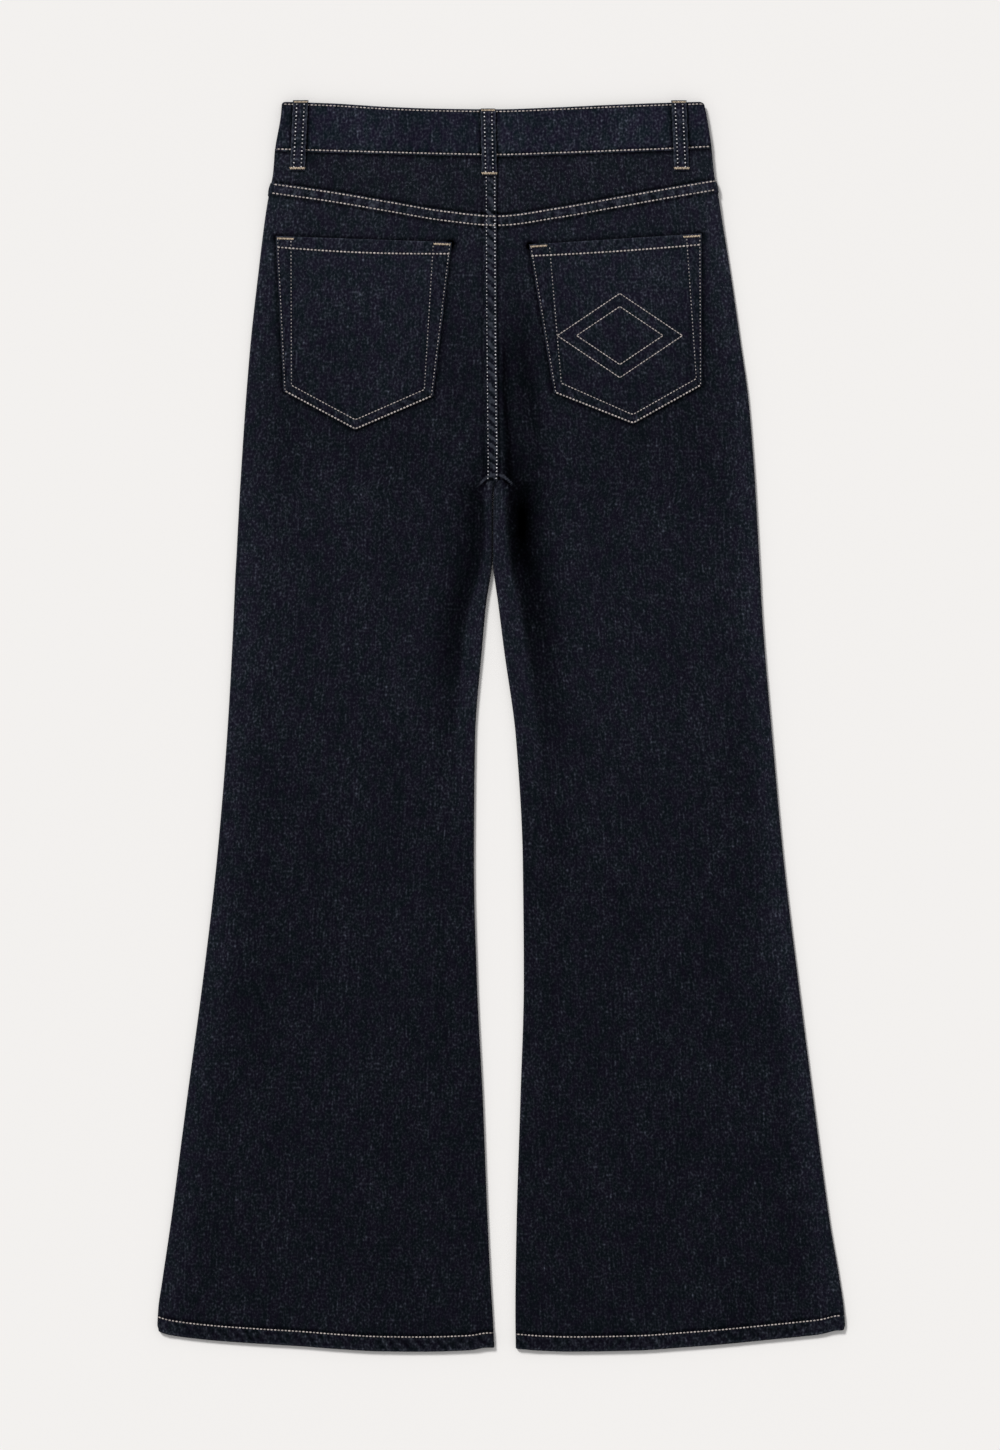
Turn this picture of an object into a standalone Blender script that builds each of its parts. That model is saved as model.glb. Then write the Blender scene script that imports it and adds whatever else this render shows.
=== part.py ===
"""Wide leg jeans in dark denim, laid flat on a surface with the back uppermost.

Each cut piece is its own thin wall of cloth: a grid of points on the piece's outer face, worked
out from the tables below, and given its thickness inwards. The back pieces roll round the folded
side edges and end just under the garment, where they meet the front pieces.

Sizes are in millimetres and become metres when a mesh is made. X runs to the wearer's right and
Y towards the waist, both from the middle of the garment. Z is height above the surface. "Down"
is the distance below the top of the waistband. Left and right are the wearer's.
"""

import math
from collections import namedtuple

import bmesh
import bpy

MM = 0.001
COLLECTION = "wide_leg_jeans"

# ---- Driving sizes ----------------------------------------------------------------------------

LENGTH = 1100.0          # waistband top to hem
DENIM = 1.1              # one ply of denim
FELL = 1.0               # what a felled seam or a turned hem adds to one ply
BAND = 2.2               # waistband wall, outer and inner ply
BAND_EDGE = 5.2          # waistband folded at the side, outside to outside
SEAM_GAP = 0.3           # clearance between pieces that are sewn together
YOKE_DROP = 1.2          # the yoke's end under the garment clears the dipping front waistband
SIDE_GAP = 0.6           # the same under the garment, where two curved edges meet
UNDER = 3.0              # how far a back piece reaches under the garment past its inner roll
UNDER_REACH = 5.8        # how far it reaches under the garment from the side edge
FELL_WIDTH = 9.5         # felled yoke seam
CENTRE_FELL_WIDTH = 10.5  # felled centre-back seam
HEM_WIDTH = 12.0         # turned hem
RAMP = 2.5               # run over which a ply rises or falls
EDGE_FALL = 9.0          # run over which the thick side edge falls to the panel's height
CROTCH = 331.0           # down to the crossing of the seams
DIVE = 24.0              # run over which the inner edge rolls from flat to fully under
HEM_CORNER = 4.0         # rounding of the hem's outer corners
EDGE_PROBE = 6.0         # where a seam's ply is read for the rolled side edge, in from the edge

FRONT_DIP = 20.0         # how much lower the front of the waistband is than its sides
FRONT_HALF = 188.0       # half of the flat waist
CENTRE_FRONT = -4.5      # x of the centre-front line

POCKET_PLY = 1.2
POCKET_HEM = 11.0        # turned top edge of a pocket
POCKET_HEM_FELL = 0.7

LOOP_WIDTH = 13.0
LOOP_THICK = 1.5
LOOP_ARCH = 0.7          # how far a loop stands off the waistband at its middle
LOOP_FOOT = 60.5         # down to the lower end of a loop
FRONT_LOOP_X = 92.0      # front loops, each side of the centre front

BUTTON_DIAMETER = 17.0
BUTTON_THICK = 1.5
ZIP_TAPE = (24.0, 140.0, 0.8)
ZIP_CHAIN = (5.0, 128.0, 1.3)

# ---- Tables -----------------------------------------------------------------------------------

# Outline of the garment: the side edges, and the inner edges of the two legs. Above the crotch
# the inner edges meet on the centre-back seam.
Outline = namedtuple("Outline", "down left_out left_in right_in right_out")
OUTLINE = (
    Outline(0, -193.0, -4.6, -4.3, 178.0),
    Outline(13, -194.2, -4.6, -4.3, 180.6),
    Outline(40, -199.0, -4.6, -4.3, 184.6),
    Outline(64, -201.0, -4.6, -4.3, 187.0),
    Outline(80, -204.2, -4.5, -4.2, 190.2),
    Outline(104, -208.1, -4.4, -4.1, 194.0),
    Outline(150, -213.8, -4.2, -3.9, 201.4),
    Outline(209, -220.4, -3.9, -3.6, 209.9),
    Outline(262, -224.8, -3.4, -3.1, 217.3),
    Outline(315, -228.4, -2.9, -2.6, 221.7),
    Outline(331, -229.4, -3.0, -2.7, 222.8),
    Outline(342, -230.1, -7.4, -7.1, 223.5),
    Outline(416, -234.1, -8.2, -7.9, 227.5),
    Outline(438, -235.0, -12.8, -4.0, 228.6),
    Outline(482, -237.0, -17.2, 2.2, 231.6),
    Outline(561, -241.6, -23.2, 12.8, 238.4),
    Outline(667, -250.4, -24.2, 18.7, 248.2),
    Outline(773, -262.7, -21.6, 19.6, 261.0),
    Outline(878, -276.8, -16.4, 16.6, 274.4),
    Outline(984, -290.8, -12.6, 13.6, 288.6),
    Outline(1063, -303.0, -8.8, 12.3, 302.4),
    Outline(1100, -304.4, -6.6, 12.8, 306.0),
)

# Lines across the waist, by place across the garment: the waistband's two edges on the back, and
# the yoke seam.
WaistLine = namedtuple("WaistLine", "across band_top band_bottom yoke_seam")
WAIST_LINES = (
    WaistLine(-206, 0.0, 43.0, 70.0),
    WaistLine(-150, 1.8, 44.6, 77.8),
    WaistLine(-98, 5.0, 46.0, 86.5),
    WaistLine(-50, 6.6, 47.2, 94.4),
    WaistLine(-4, 7.0, 48.0, 98.7),
    WaistLine(50, 5.2, 46.4, 91.9),
    WaistLine(98, 3.0, 44.6, 83.5),
    WaistLine(145, 1.3, 42.8, 75.0),
    WaistLine(192, 0.0, 40.4, 67.0),
)

# The lower edge of the legs, by place across the garment.
HemLine = namedtuple("HemLine", "across down")
HEM_LINE = (
    HemLine(-305, 1079.5),
    HemLine(-254, 1091.2),
    HemLine(-190, 1096.8),
    HemLine(-128, 1099.8),
    HemLine(-6, 1095.6),
    HemLine(12, 1097.0),
    HemLine(81, 1100.0),
    HemLine(165, 1095.8),
    HemLine(228, 1090.3),
    HemLine(305, 1077.5),
)

# Heights of the laid garment. Lift is the underside above the surface, where the front loops and
# button hold it up. Edge, middle and ridge are the heights of the back over the lift, at the side
# edge, in mid-panel, and at the inner edge or centre seam.
Height = namedtuple("Height", "down lift edge middle ridge")
HEIGHTS = (
    Height(0, 1.9, 4.4, 4.3, 4.3),
    Height(86, 1.9, 4.4, 4.3, 4.3),
    Height(110, 0.9, 4.4, 4.3, 4.3),
    Height(145, 0.0, 4.4, 4.2, 4.3),
    Height(250, 0.0, 4.4, 4.0, 4.6),
    Height(315, 0.0, 4.4, 3.8, 5.2),
    Height(356, 0.0, 4.4, 3.7, 6.2),
    Height(430, 0.0, 4.4, 3.6, 5.9),
    Height(530, 0.0, 4.4, 3.4, 4.9),
    Height(640, 0.0, 4.4, 3.3, 4.5),
    Height(1060, 0.0, 4.4, 3.4, 4.4),
    Height(1100, 0.0, 4.4, 3.7, 4.4),
)

# The largest soft folds of the back: ridges and troughs, each an uneven long mound. Slant is how
# far the fold moves across for each millimetre down.
Fold = namedtuple("Fold", "name across down half_width half_length slant height")
FOLDS = (
    Fold("left crotch trough", -32.0, 395.0, 11.0, 95.0, -0.17, -0.9),
    Fold("right crotch trough", 24.0, 385.0, 12.0, 78.0, 0.02, -1.1),
    Fold("left thigh crown", -118.0, 420.0, 48.0, 150.0, -0.06, 0.9),
    Fold("right thigh crown", 112.0, 430.0, 50.0, 160.0, 0.05, 0.9),
    Fold("left seat", -110.0, 215.0, 52.0, 80.0, 0.0, 0.5),
    Fold("right seat", 112.0, 215.0, 52.0, 80.0, 0.0, 0.5),
    Fold("left knee swell", -165.0, 640.0, 30.0, 140.0, -0.12, 0.6),
    Fold("right knee swell", 170.0, 700.0, 32.0, 120.0, 0.12, 0.6),
    Fold("right knee drag", 78.0, 668.0, 11.0, 70.0, 0.75, -0.5),
    Fold("left shin swell", -110.0, 900.0, 34.0, 150.0, -0.05, 0.6),
    Fold("right shin swell", 118.0, 930.0, 36.0, 140.0, 0.08, 0.6),
)

# Corners of each back pocket, on the outside of the leg first, then the centre side and the tip.
Pocket = namedtuple(
    "Pocket", "side outer_x outer_down inner_x inner_down outer_low_x outer_low_down "
              "inner_low_x inner_low_down tip_x tip_down")
POCKETS = (
    Pocket("left", -198.4, 118.4, -43.6, 123.8, -191.7, 254.8, -60.0, 259.3, -128.4, 289.1),
    Pocket("right", 175.9, 116.2, 24.2, 125.8, 176.5, 249.7, 46.2, 256.1, 115.6, 283.9),
)

# Belt loops of the back: x at the top and at the foot.
Loop = namedtuple("Loop", "name top_x foot_x")
BACK_LOOPS = (
    Loop("belt_loop_back_left", -176.4, -179.3),
    Loop("belt_loop_centre", -12.3, -11.0),
    Loop("belt_loop_back_right", 155.8, 158.4),
)

# Where the grid of a leg has its rows: base distances down, closer at the seams and the crotch.
LEG_ROWS = (86.0, 86.0 + FELL_WIDTH, 86.0 + FELL_WIDTH + RAMP, 130, 165, 200, 235, 268, 298, 318,
            CROTCH, CROTCH + 6, CROTCH + 12, CROTCH + 18, CROTCH + DIVE, 370, 392, 420, 455, 495,
            540, 590, 645, 705, 765, 825, 885, 945, 1005, 1055,
            LENGTH - HEM_WIDTH - RAMP, LENGTH - HEM_WIDTH, LENGTH)
YOKE_REF = 86.0          # the base distance that stands for the yoke seam

ROLL_STEPS = 6
TOP_STEPS = 13
INNER_STEPS = 6


# ---- Reading the tables -----------------------------------------------------------------------

def clamp(value, low=0.0, high=1.0):
    return max(low, min(high, value))


def ease(value):
    """Smooth step from 0 to 1."""
    value = clamp(value)
    return value * value * (3.0 - 2.0 * value)


def read(rows, key, column, at):
    """A column of a table at a place between its rows, on a curve that never overshoots them."""
    xs = [getattr(row, key) for row in rows]
    ys = [getattr(row, column) for row in rows]
    if at <= xs[0]:
        return ys[0]
    if at >= xs[-1]:
        return ys[-1]
    i = max(k for k in range(len(xs) - 1) if xs[k] <= at)
    slopes = [(ys[k + 1] - ys[k]) / (xs[k + 1] - xs[k]) for k in range(len(xs) - 1)]

    def tangent(k):
        if k == 0 or k == len(xs) - 1:
            return slopes[0] if k == 0 else slopes[-1]
        before, after = slopes[k - 1], slopes[k]
        if before * after <= 0.0:
            return 0.0
        return 2.0 * before * after / (before + after)

    run = xs[i + 1] - xs[i]
    t = (at - xs[i]) / run
    return (ys[i] * (1 + 2 * t) * (1 - t) ** 2 + ys[i + 1] * t * t * (3 - 2 * t)
            + run * (tangent(i) * t * (1 - t) ** 2 - tangent(i + 1) * t * t * (1 - t)))


def outline(column, down):
    return read(OUTLINE, "down", column, down)


def height(column, down):
    return read(HEIGHTS, "down", column, down)


def waist_line(column, across):
    return read(WAIST_LINES, "across", column, across)


def hem_line(across):
    return read(HEM_LINE, "across", "down", across)


def front_dip(across):
    """How far the front of the waistband hangs below a straight line between its sides."""
    share = (across - CENTRE_FRONT) / FRONT_HALF
    return FRONT_DIP * max(0.0, 1.0 - share * share)


def front_band_bottom(across):
    side_line = WAIST_LINES[0].band_bottom if across < CENTRE_FRONT else WAIST_LINES[-1].band_bottom
    share = clamp(abs(across - CENTRE_FRONT) / FRONT_HALF)
    middle_line = 42.0
    return middle_line + (side_line - middle_line) * share + front_dip(across)


def front_top(across):
    return front_dip(across) + SEAM_GAP


def dive(down):
    """0 where the inner edge lies flat on the centre seam, 1 where it is rolled right under."""
    return clamp((down - CROTCH) / DIVE)


def inward(side):
    """Direction along X from the side edge of a leg towards the centre."""
    return 1.0 if side == "left" else -1.0


# ---- The surface of the back ------------------------------------------------------------------

def felled(side, across, down):
    """Extra height, and thickness, of the felled seams and the hem on a back leg or yoke."""
    hem = ease((down - (hem_line(across) - HEM_WIDTH - RAMP)) / RAMP)
    from_yoke = down - waist_line("yoke_seam", across)
    yoke = ease((FELL_WIDTH + RAMP - from_yoke) / RAMP) if from_yoke > -0.5 * SEAM_GAP else 0.0
    centre = 0.0
    if side == "left":
        reach = outline("left_in", down) - across
        centre = ease((CENTRE_FELL_WIDTH + RAMP - reach) / RAMP) * (1.0 - ease(dive(down) * 2.0))
    return FELL * max(hem, yoke, centre)


def panel_height(side, across, down):
    """Height of the back's outer face over the lift, without seams, away from its rolls."""
    to_edge = abs(across - outline(side + "_out", down)) - 0.5 * height("edge", down)
    to_inner = abs(across - outline(side + "_in", down)) - 0.5 * height("ridge", down)
    middle = height("middle", down)
    edge = (height("edge", down) - middle) * math.exp(-(max(0.0, to_edge) / EDGE_FALL) ** 2)
    ridge = (height("ridge", down) - middle) * math.exp(-(max(0.0, to_inner) / EDGE_FALL) ** 2)
    rise = 0.0
    for fold in FOLDS:
        along = (down - fold.down) / fold.half_length
        offset = (across - fold.across - fold.slant * (down - fold.down)) / fold.half_width
        rise += fold.height * math.exp(-along * along - offset * offset)
    calm = ease(min(to_edge, to_inner) / EDGE_FALL)
    return middle + edge + ridge + rise * calm


def back_top(side, across, down):
    """Outer face of a back leg or yoke, above the surface."""
    return height("lift", down) + panel_height(side, across, down) + felled(side, across, down)


def inner_curve(radius, turn, strip, steps):
    """The inner end of a back section as (forward, drop) steps: flat, then rolled by turn."""
    arc = math.pi * radius
    flat = arc * (1.0 - turn)
    points = []
    for k in range(1, steps + 1):
        run = arc * k / steps
        if run <= flat:
            points.append((run, 0.0))
        else:
            angle = (run - flat) / radius
            points.append((flat + radius * math.sin(angle), radius * (1.0 - math.cos(angle))))
    angle = math.pi * turn
    last = points[-1]
    end_drop = min(last[1] + strip * math.sin(angle), 2.0 * radius)
    points.append((last[0] + strip * math.cos(angle), end_drop))
    return points


def inner_shape(down):
    radius = 0.5 * height("ridge", down)
    turn = dive(down)
    strip = 0.8 + (UNDER - 0.8) * ease(2.0 * turn - 1.0)
    curve = inner_curve(radius, turn, strip, INNER_STEPS)
    reach = max(forward for forward, drop in curve)
    if turn > 0.5:
        reach = math.pi * radius * (1.0 - turn) + radius
    return curve, reach


def side_edge(side, down):
    """The rolled side edge of the back at a distance down: its x, its roll's radius, its ply."""
    toward = inward(side)
    edge_x = outline(side + "_out", down)
    rise = felled(side, edge_x + toward * EDGE_PROBE, down)
    if down < 0.5 * LENGTH:
        edge_x -= toward * rise
    rounding = ease(1.0 + (down - hem_line(edge_x)) / HEM_CORNER)
    edge_x += toward * 0.5 * HEM_CORNER * rounding
    return edge_x, 0.5 * (height("edge", down) + rise), DENIM + rise


def back_section(side, down_at, under_drop=0.0):
    """Outer face of a back leg or yoke across one row, as (x, down, z, thickness) points.

    down_at gives the distance down for a place across the garment. The end under the garment
    lies lower by under_drop.
    """
    toward = inward(side)
    base = down_at(outline(side + "_out", 0.5 * LENGTH))
    down = down_at(outline(side + "_out", base) + toward * 0.5 * BAND_EDGE)
    edge_x, radius, ply = side_edge(side, down)
    lift = height("lift", down)
    points = [(outline(side + "_out", down) + toward * UNDER_REACH, down + under_drop, lift, ply)]
    for k in range(ROLL_STEPS + 1):
        angle = math.pi * (-0.5 + k / ROLL_STEPS)
        points.append((edge_x + toward * radius * (1.0 - math.cos(angle)), down,
                       lift + radius * (1.0 + math.sin(angle)), ply))

    start = edge_x + toward * radius
    inner_down = down_at(outline(side + "_in", base))
    curve, reach = inner_shape(inner_down)
    end = outline(side + "_in", inner_down) - toward * reach
    spread = [0.5 - 0.5 * math.cos(math.pi * (0.12 + 0.76 * k / TOP_STEPS))
              for k in range(TOP_STEPS + 1)]
    low, high = spread[0], spread[-1]
    for value in spread[1:]:
        across = start + (end - start) * (value - low) / (high - low)
        at = down_at(across)
        rise = felled(side, across, at)
        points.append((across, at, back_top(side, across, at), DENIM + rise))

    for forward, drop in curve:
        across = end + toward * forward
        at = down_at(across)
        lift = height("lift", at)
        hem_rise = felled(side, across, at)
        ridge = height("ridge", at)
        scale = 1.0 + hem_rise / ridge if inner_down > CROTCH else 1.0
        flat_rise = hem_rise if inner_down <= CROTCH else 0.0
        top = lift + ridge * scale + flat_rise
        points.append((across, at, top - drop * scale, DENIM + hem_rise))
    return points


# ---- Making the meshes ------------------------------------------------------------------------

def material(name, colour, roughness, metallic=0.0):
    made = bpy.data.materials.new(name)
    made.use_nodes = True
    shader = made.node_tree.nodes["Principled BSDF"]
    shader.inputs["Base Color"].default_value = (*colour, 1.0)
    shader.inputs["Roughness"].default_value = roughness
    shader.inputs["Metallic"].default_value = metallic
    made.diffuse_color = (*colour, 1.0)
    return made


def denim(name, shade=1.0):
    return material(name, (0.0105 * shade, 0.0125 * shade, 0.0190 * shade), 0.86)


def place(across, down, z):
    return (across * MM, (0.5 * LENGTH - down) * MM, z * MM)


def add_object(name, mesh, finish, collection):
    mesh.materials.append(finish)
    made = bpy.data.objects.new(name, mesh)
    collection.objects.link(made)
    return made


def cloth(name, rows, up, finish, collection):
    """A wall of cloth from a grid of (x, down, z, thickness) points on its outer face.

    up says whether the grid, read along its rows and then down them, faces outwards as it is.
    """
    mesh = bpy.data.meshes.new(name)
    grid = bmesh.new()
    thickest = max(point[3] for row in rows for point in row)
    verts = [[grid.verts.new(place(*point[:3])) for point in row] for row in rows]
    for upper, lower in zip(verts, verts[1:]):
        for k in range(len(upper) - 1):
            corners = (upper[k], lower[k], lower[k + 1], upper[k + 1])
            grid.faces.new(corners if up else corners[::-1])
    grid.verts.index_update()
    weights = [(vert.index, point[3] / thickest)
               for vert_row, row in zip(verts, rows) for vert, point in zip(vert_row, row)]
    grid.to_mesh(mesh)
    grid.free()
    made = add_object(name, mesh, finish, collection)
    plies = made.vertex_groups.new(name="plies")
    for index, weight in weights:
        plies.add([index], weight, "REPLACE")
    wall = made.modifiers.new("wall", "SOLIDIFY")
    wall.thickness = thickest * MM
    wall.offset = -1.0
    wall.use_even_offset = True
    wall.vertex_group = "plies"
    mesh.shade_smooth()
    mesh.set_sharp_from_angle(angle=math.radians(40.0))
    return made


# ---- The pieces -------------------------------------------------------------------------------

def leg_row(base):
    """Distance down across one row of a leg: it follows the yoke seam above and the hem below."""
    near_yoke = ease((300.0 - base) / (300.0 - YOKE_REF))
    near_hem = ease((base - 850.0) / (LENGTH - 850.0 - HEM_WIDTH - RAMP))

    def down_at(across):
        return (base + near_yoke * (waist_line("yoke_seam", across) + 0.5 * SEAM_GAP - YOKE_REF)
                + near_hem * (hem_line(across) - LENGTH))
    return down_at


def back_leg(side, collection):
    rows = [back_section(side, leg_row(base)) for base in LEG_ROWS]
    cloth("back_leg_" + side, rows, side == "left", denim("back leg denim " + side), collection)


def back_yoke(side, collection):
    shares = (0.0, 0.34, 0.67, 1.0)
    rows = []
    for share in shares:
        def down_at(across, share=share):
            top = waist_line("band_bottom", across) + 0.5 * SEAM_GAP
            bottom = waist_line("yoke_seam", across) - 0.5 * SEAM_GAP
            return top + (bottom - top) * share
        rows.append(back_section(side, down_at, YOKE_DROP * (1.0 - share)))
    cloth("back_yoke_" + side, rows, side == "left", denim("yoke denim " + side, 1.05), collection)


def front_leg(side, collection):
    """A front panel lies on the surface under the back, its edges just clear of the back's."""
    toward = inward(side)
    rows = []
    shares = (0.0, 0.05, 0.15, 0.3, 0.45, 0.6, 0.75, 0.9, 1.0)
    for base in (45.0, 56.0, 68.0, 82.0) + tuple(LEG_ROWS[1:]):
        near_waist = ease((300.0 - base) / 255.0)
        near_hem = ease((base - 850.0) / (LENGTH - 850.0 - HEM_WIDTH - RAMP))

        def down_at(across):
            return (base + near_waist * (front_band_bottom(across) + SIDE_GAP - 45.0)
                    + near_hem * (hem_line(across) - LENGTH))

        down = down_at(outline(side + "_out", base) + toward * UNDER_REACH)
        start = outline(side + "_out", down) + toward * (UNDER_REACH + SIDE_GAP)
        inner = outline(side + "_in", base)
        clear = 0.5 * height("ridge", base) + UNDER + SIDE_GAP
        clear += 0.5 * FELL * ease((base - 0.9 * LENGTH) / (0.05 * LENGTH))
        end = inner - toward * clear * ease(2.0 * dive(base))
        row = []
        for share in shares:
            across = start + (end - start) * share
            at = down_at(across)
            hem = ease((at - (hem_line(across) - HEM_WIDTH - RAMP)) / RAMP)
            row.append((across, at, height("lift", at), DENIM + FELL * hem))
        rows.append(row)
    cloth("front_leg_" + side, rows, side == "right", denim("front leg denim " + side), collection)


def waistband(collection):
    """One strip round the waist, folded at the sides and open at the centre front."""
    lift = height("lift", 0.0)
    radius = 0.5 * BAND_EDGE
    fold = 6
    rows = []
    for share in (0.0, 0.33, 0.67, 1.0):
        def back_down(across):
            top = waist_line("band_top", across)
            return top + (waist_line("band_bottom", across) - 0.5 * SEAM_GAP - top) * share

        def front_down(across):
            top = front_dip(across)
            return top + (front_band_bottom(across) - 0.5 * SEAM_GAP - top) * share

        side_down = share * 42.0
        corner = 1.2 if share == 0.0 else 0.0
        left = outline("left_out", side_down) + radius + corner
        right = outline("right_out", side_down) - radius - corner
        row = []
        for k in range(9):
            across = CENTRE_FRONT - 0.5 * SEAM_GAP + (left - CENTRE_FRONT) * k / 8
            row.append((across, front_down(across), lift))
        for k in range(1, fold):
            angle = math.pi * k / fold
            down = front_down(left) + (back_down(left) - front_down(left)) * k / fold
            row.append((left - radius * math.sin(angle), down,
                        lift + radius * (1.0 - math.cos(angle))))
        for k in range(17):
            across = left + (right - left) * k / 16
            row.append((across, back_down(across), lift + BAND_EDGE))
        for k in range(1, fold):
            angle = math.pi * k / fold
            down = back_down(right) + (front_down(right) - back_down(right)) * k / fold
            row.append((right + radius * math.sin(angle), down,
                        lift + radius * (1.0 + math.cos(angle))))
        for k in range(9):
            across = right + (CENTRE_FRONT + 0.5 * SEAM_GAP - right) * k / 8
            row.append((across, front_down(across), lift))
        rows.append([(*point, BAND) for point in row])
    cloth("waistband", rows, True, denim("waistband denim", 1.25), collection)


def back_pocket(shape, collection):
    """A patch pocket lies on the back leg: the leg's points under it, moved out."""
    tip_share = (shape.tip_x - shape.outer_low_x) / (shape.inner_low_x - shape.outer_low_x)
    across_shares = [tip_share * k / 4 for k in range(5)]
    across_shares += [tip_share + (1.0 - tip_share) * k / 4 for k in range(1, 5)]
    depth = shape.tip_down - shape.outer_down
    down_shares = (0.0, POCKET_HEM / depth, (POCKET_HEM + 1.5) / depth, 0.3, 0.5, 0.7, 0.86, 1.0)
    rows = []
    for down_share in down_shares:
        row = []
        for share in across_shares:
            top_x = shape.outer_x + (shape.inner_x - shape.outer_x) * share
            top_down = shape.outer_down + (shape.inner_down - shape.outer_down) * share
            low_x = shape.outer_low_x + (shape.inner_low_x - shape.outer_low_x) * share
            if share <= tip_share:
                part = share / tip_share
                low_down = shape.outer_low_down + (shape.tip_down - shape.outer_low_down) * part
            else:
                part = (share - tip_share) / (1.0 - tip_share)
                low_down = shape.tip_down + (shape.inner_low_down - shape.tip_down) * part
            across = top_x + (low_x - top_x) * down_share
            down = top_down + (low_down - top_down) * down_share
            ply = POCKET_PLY + POCKET_HEM_FELL * (1.0 if down_share <= POCKET_HEM / depth else 0.0)
            z = back_top(shape.side, across, down) + SEAM_GAP + ply
            row.append((across, down, z, ply))
        rows.append(row)
    cloth("back_pocket_" + shape.side, rows, shape.side == "left",
          denim("pocket denim " + shape.side, 1.1), collection)


def loop_rows(top_x, foot_x, downs, heights):
    rows = []
    for share, down, z in zip((0.0, 0.2, 0.4, 0.6, 0.75, 0.87, 1.0), downs, heights):
        centre = top_x + (foot_x - top_x) * share
        rows.append([(centre + offset * LOOP_WIDTH, down, z, LOOP_THICK)
                     for offset in (-0.5, -0.17, 0.17, 0.5)])
    return rows


def back_loop(shape, collection):
    """A loop over the waistband, with its foot sewn down on the yoke just below."""
    lift = height("lift", 0.0)
    on_band = lift + BAND_EDGE + SEAM_GAP + LOOP_THICK
    top = waist_line("band_top", shape.top_x) + 0.4
    band_end = waist_line("band_bottom", shape.foot_x)
    on_yoke = lift + height("middle", 0.0) + SEAM_GAP + LOOP_THICK
    if shape.name == "belt_loop_centre":
        on_yoke += FELL
    else:
        on_yoke += 0.2
    on_yoke = max(on_yoke, on_band - 1.0)
    foot = LOOP_FOOT + (2.6 if shape.name == "belt_loop_centre" else 0.0)
    run = band_end - top
    downs = (top, top + 0.25 * run, top + 0.5 * run, top + 0.78 * run, band_end + 2.0,
             band_end + 6.5, foot)
    heights = (on_band, on_band + LOOP_ARCH, on_band + LOOP_ARCH, on_band + 0.4, on_band,
               0.5 * (on_band + on_yoke) + 0.1, on_yoke)
    cloth(shape.name, loop_rows(shape.top_x, shape.foot_x, downs, heights), True,
          denim(shape.name + " denim", 1.3), collection)


def front_loop(name, across, collection):
    """A front loop is pressed flat between the waistband and the surface."""
    top = front_top(across) + 0.4
    foot = front_band_bottom(across) + 12.0
    downs = [top + (foot - top) * share for share in (0.0, 0.2, 0.4, 0.6, 0.75, 0.87, 1.0)]
    cloth(name, loop_rows(across, across, downs, (0.0,) * 7), False,
          denim(name + " denim", 1.3), collection)


def fly_zip(collection):
    """A closed zip inside the fly: the tape, with its chain standing out of its middle."""
    top = front_band_bottom(CENTRE_FRONT) + 4.0
    middle = top + 0.5 * ZIP_TAPE[1]
    steps = 9
    rows = []
    for k in range(steps + 1):
        down = top + ZIP_TAPE[1] * k / steps
        on_front = height("lift", down) + DENIM + SEAM_GAP
        row = []
        for offset, on_chain in ((-0.5 * ZIP_TAPE[0], 0), (-0.5 * ZIP_CHAIN[0] - 0.4, 0),
                                 (-0.5 * ZIP_CHAIN[0], 1), (0.5 * ZIP_CHAIN[0], 1),
                                 (0.5 * ZIP_CHAIN[0] + 0.4, 0), (0.5 * ZIP_TAPE[0], 0)):
            inside = on_chain and abs(down - middle) <= 0.5 * ZIP_CHAIN[1]
            thick = ZIP_CHAIN[2] if inside else ZIP_TAPE[2]
            row.append((CENTRE_FRONT + offset, down, on_front + thick, thick))
        rows.append(row)
    cloth("fly_zip", rows, True, material("zip tape", (0.012, 0.014, 0.02), 0.8), collection)


def waist_button(collection):
    """A shank button on the front of the waistband, its face on the surface."""
    mesh = bpy.data.meshes.new("waist_button")
    shape = bmesh.new()
    radius = 0.5 * BUTTON_DIAMETER * MM
    bmesh.ops.create_cone(shape, cap_ends=True, segments=24, radius1=radius, radius2=radius,
                          depth=BUTTON_THICK * MM)
    across = CENTRE_FRONT - 14.0
    centre = place(across, front_top(across) + 21.0, 0.5 * BUTTON_THICK)
    bmesh.ops.translate(shape, verts=shape.verts, vec=centre)
    shape.to_mesh(mesh)
    shape.free()
    finish = material("button metal", (0.42, 0.33, 0.22), 0.38, 1.0)
    made = add_object("waist_button", mesh, finish, collection)
    rim = made.modifiers.new("rim", "BEVEL")
    rim.width = 0.4 * MM
    rim.segments = 1
    rim.limit_method = "ANGLE"


def main():
    for old in list(bpy.data.objects):
        bpy.data.objects.remove(old, do_unlink=True)
    collection = bpy.data.collections.new(COLLECTION)
    bpy.context.scene.collection.children.link(collection)
    for side in ("left", "right"):
        back_leg(side, collection)
        back_yoke(side, collection)
        front_leg(side, collection)
    for shape in POCKETS:
        back_pocket(shape, collection)
    waistband(collection)
    for shape in BACK_LOOPS:
        back_loop(shape, collection)
    front_loop("belt_loop_front_left", CENTRE_FRONT - FRONT_LOOP_X, collection)
    front_loop("belt_loop_front_right", CENTRE_FRONT + FRONT_LOOP_X, collection)
    fly_zip(collection)
    waist_button(collection)


main()
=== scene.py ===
"""The looks of the wide leg jeans: dark indigo denim, laid flat with the back uppermost.

Lengths are in millimetres until a mesh is made. X runs to the wearer's right and Y towards the
waist, both from the middle of the garment. "Down" is the distance below the top of the
waistband. Left and right are the wearer's.
"""

import math
from collections import namedtuple

import bmesh
import bpy
import numpy as np
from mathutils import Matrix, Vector
from mathutils.bvhtree import BVHTree


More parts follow.
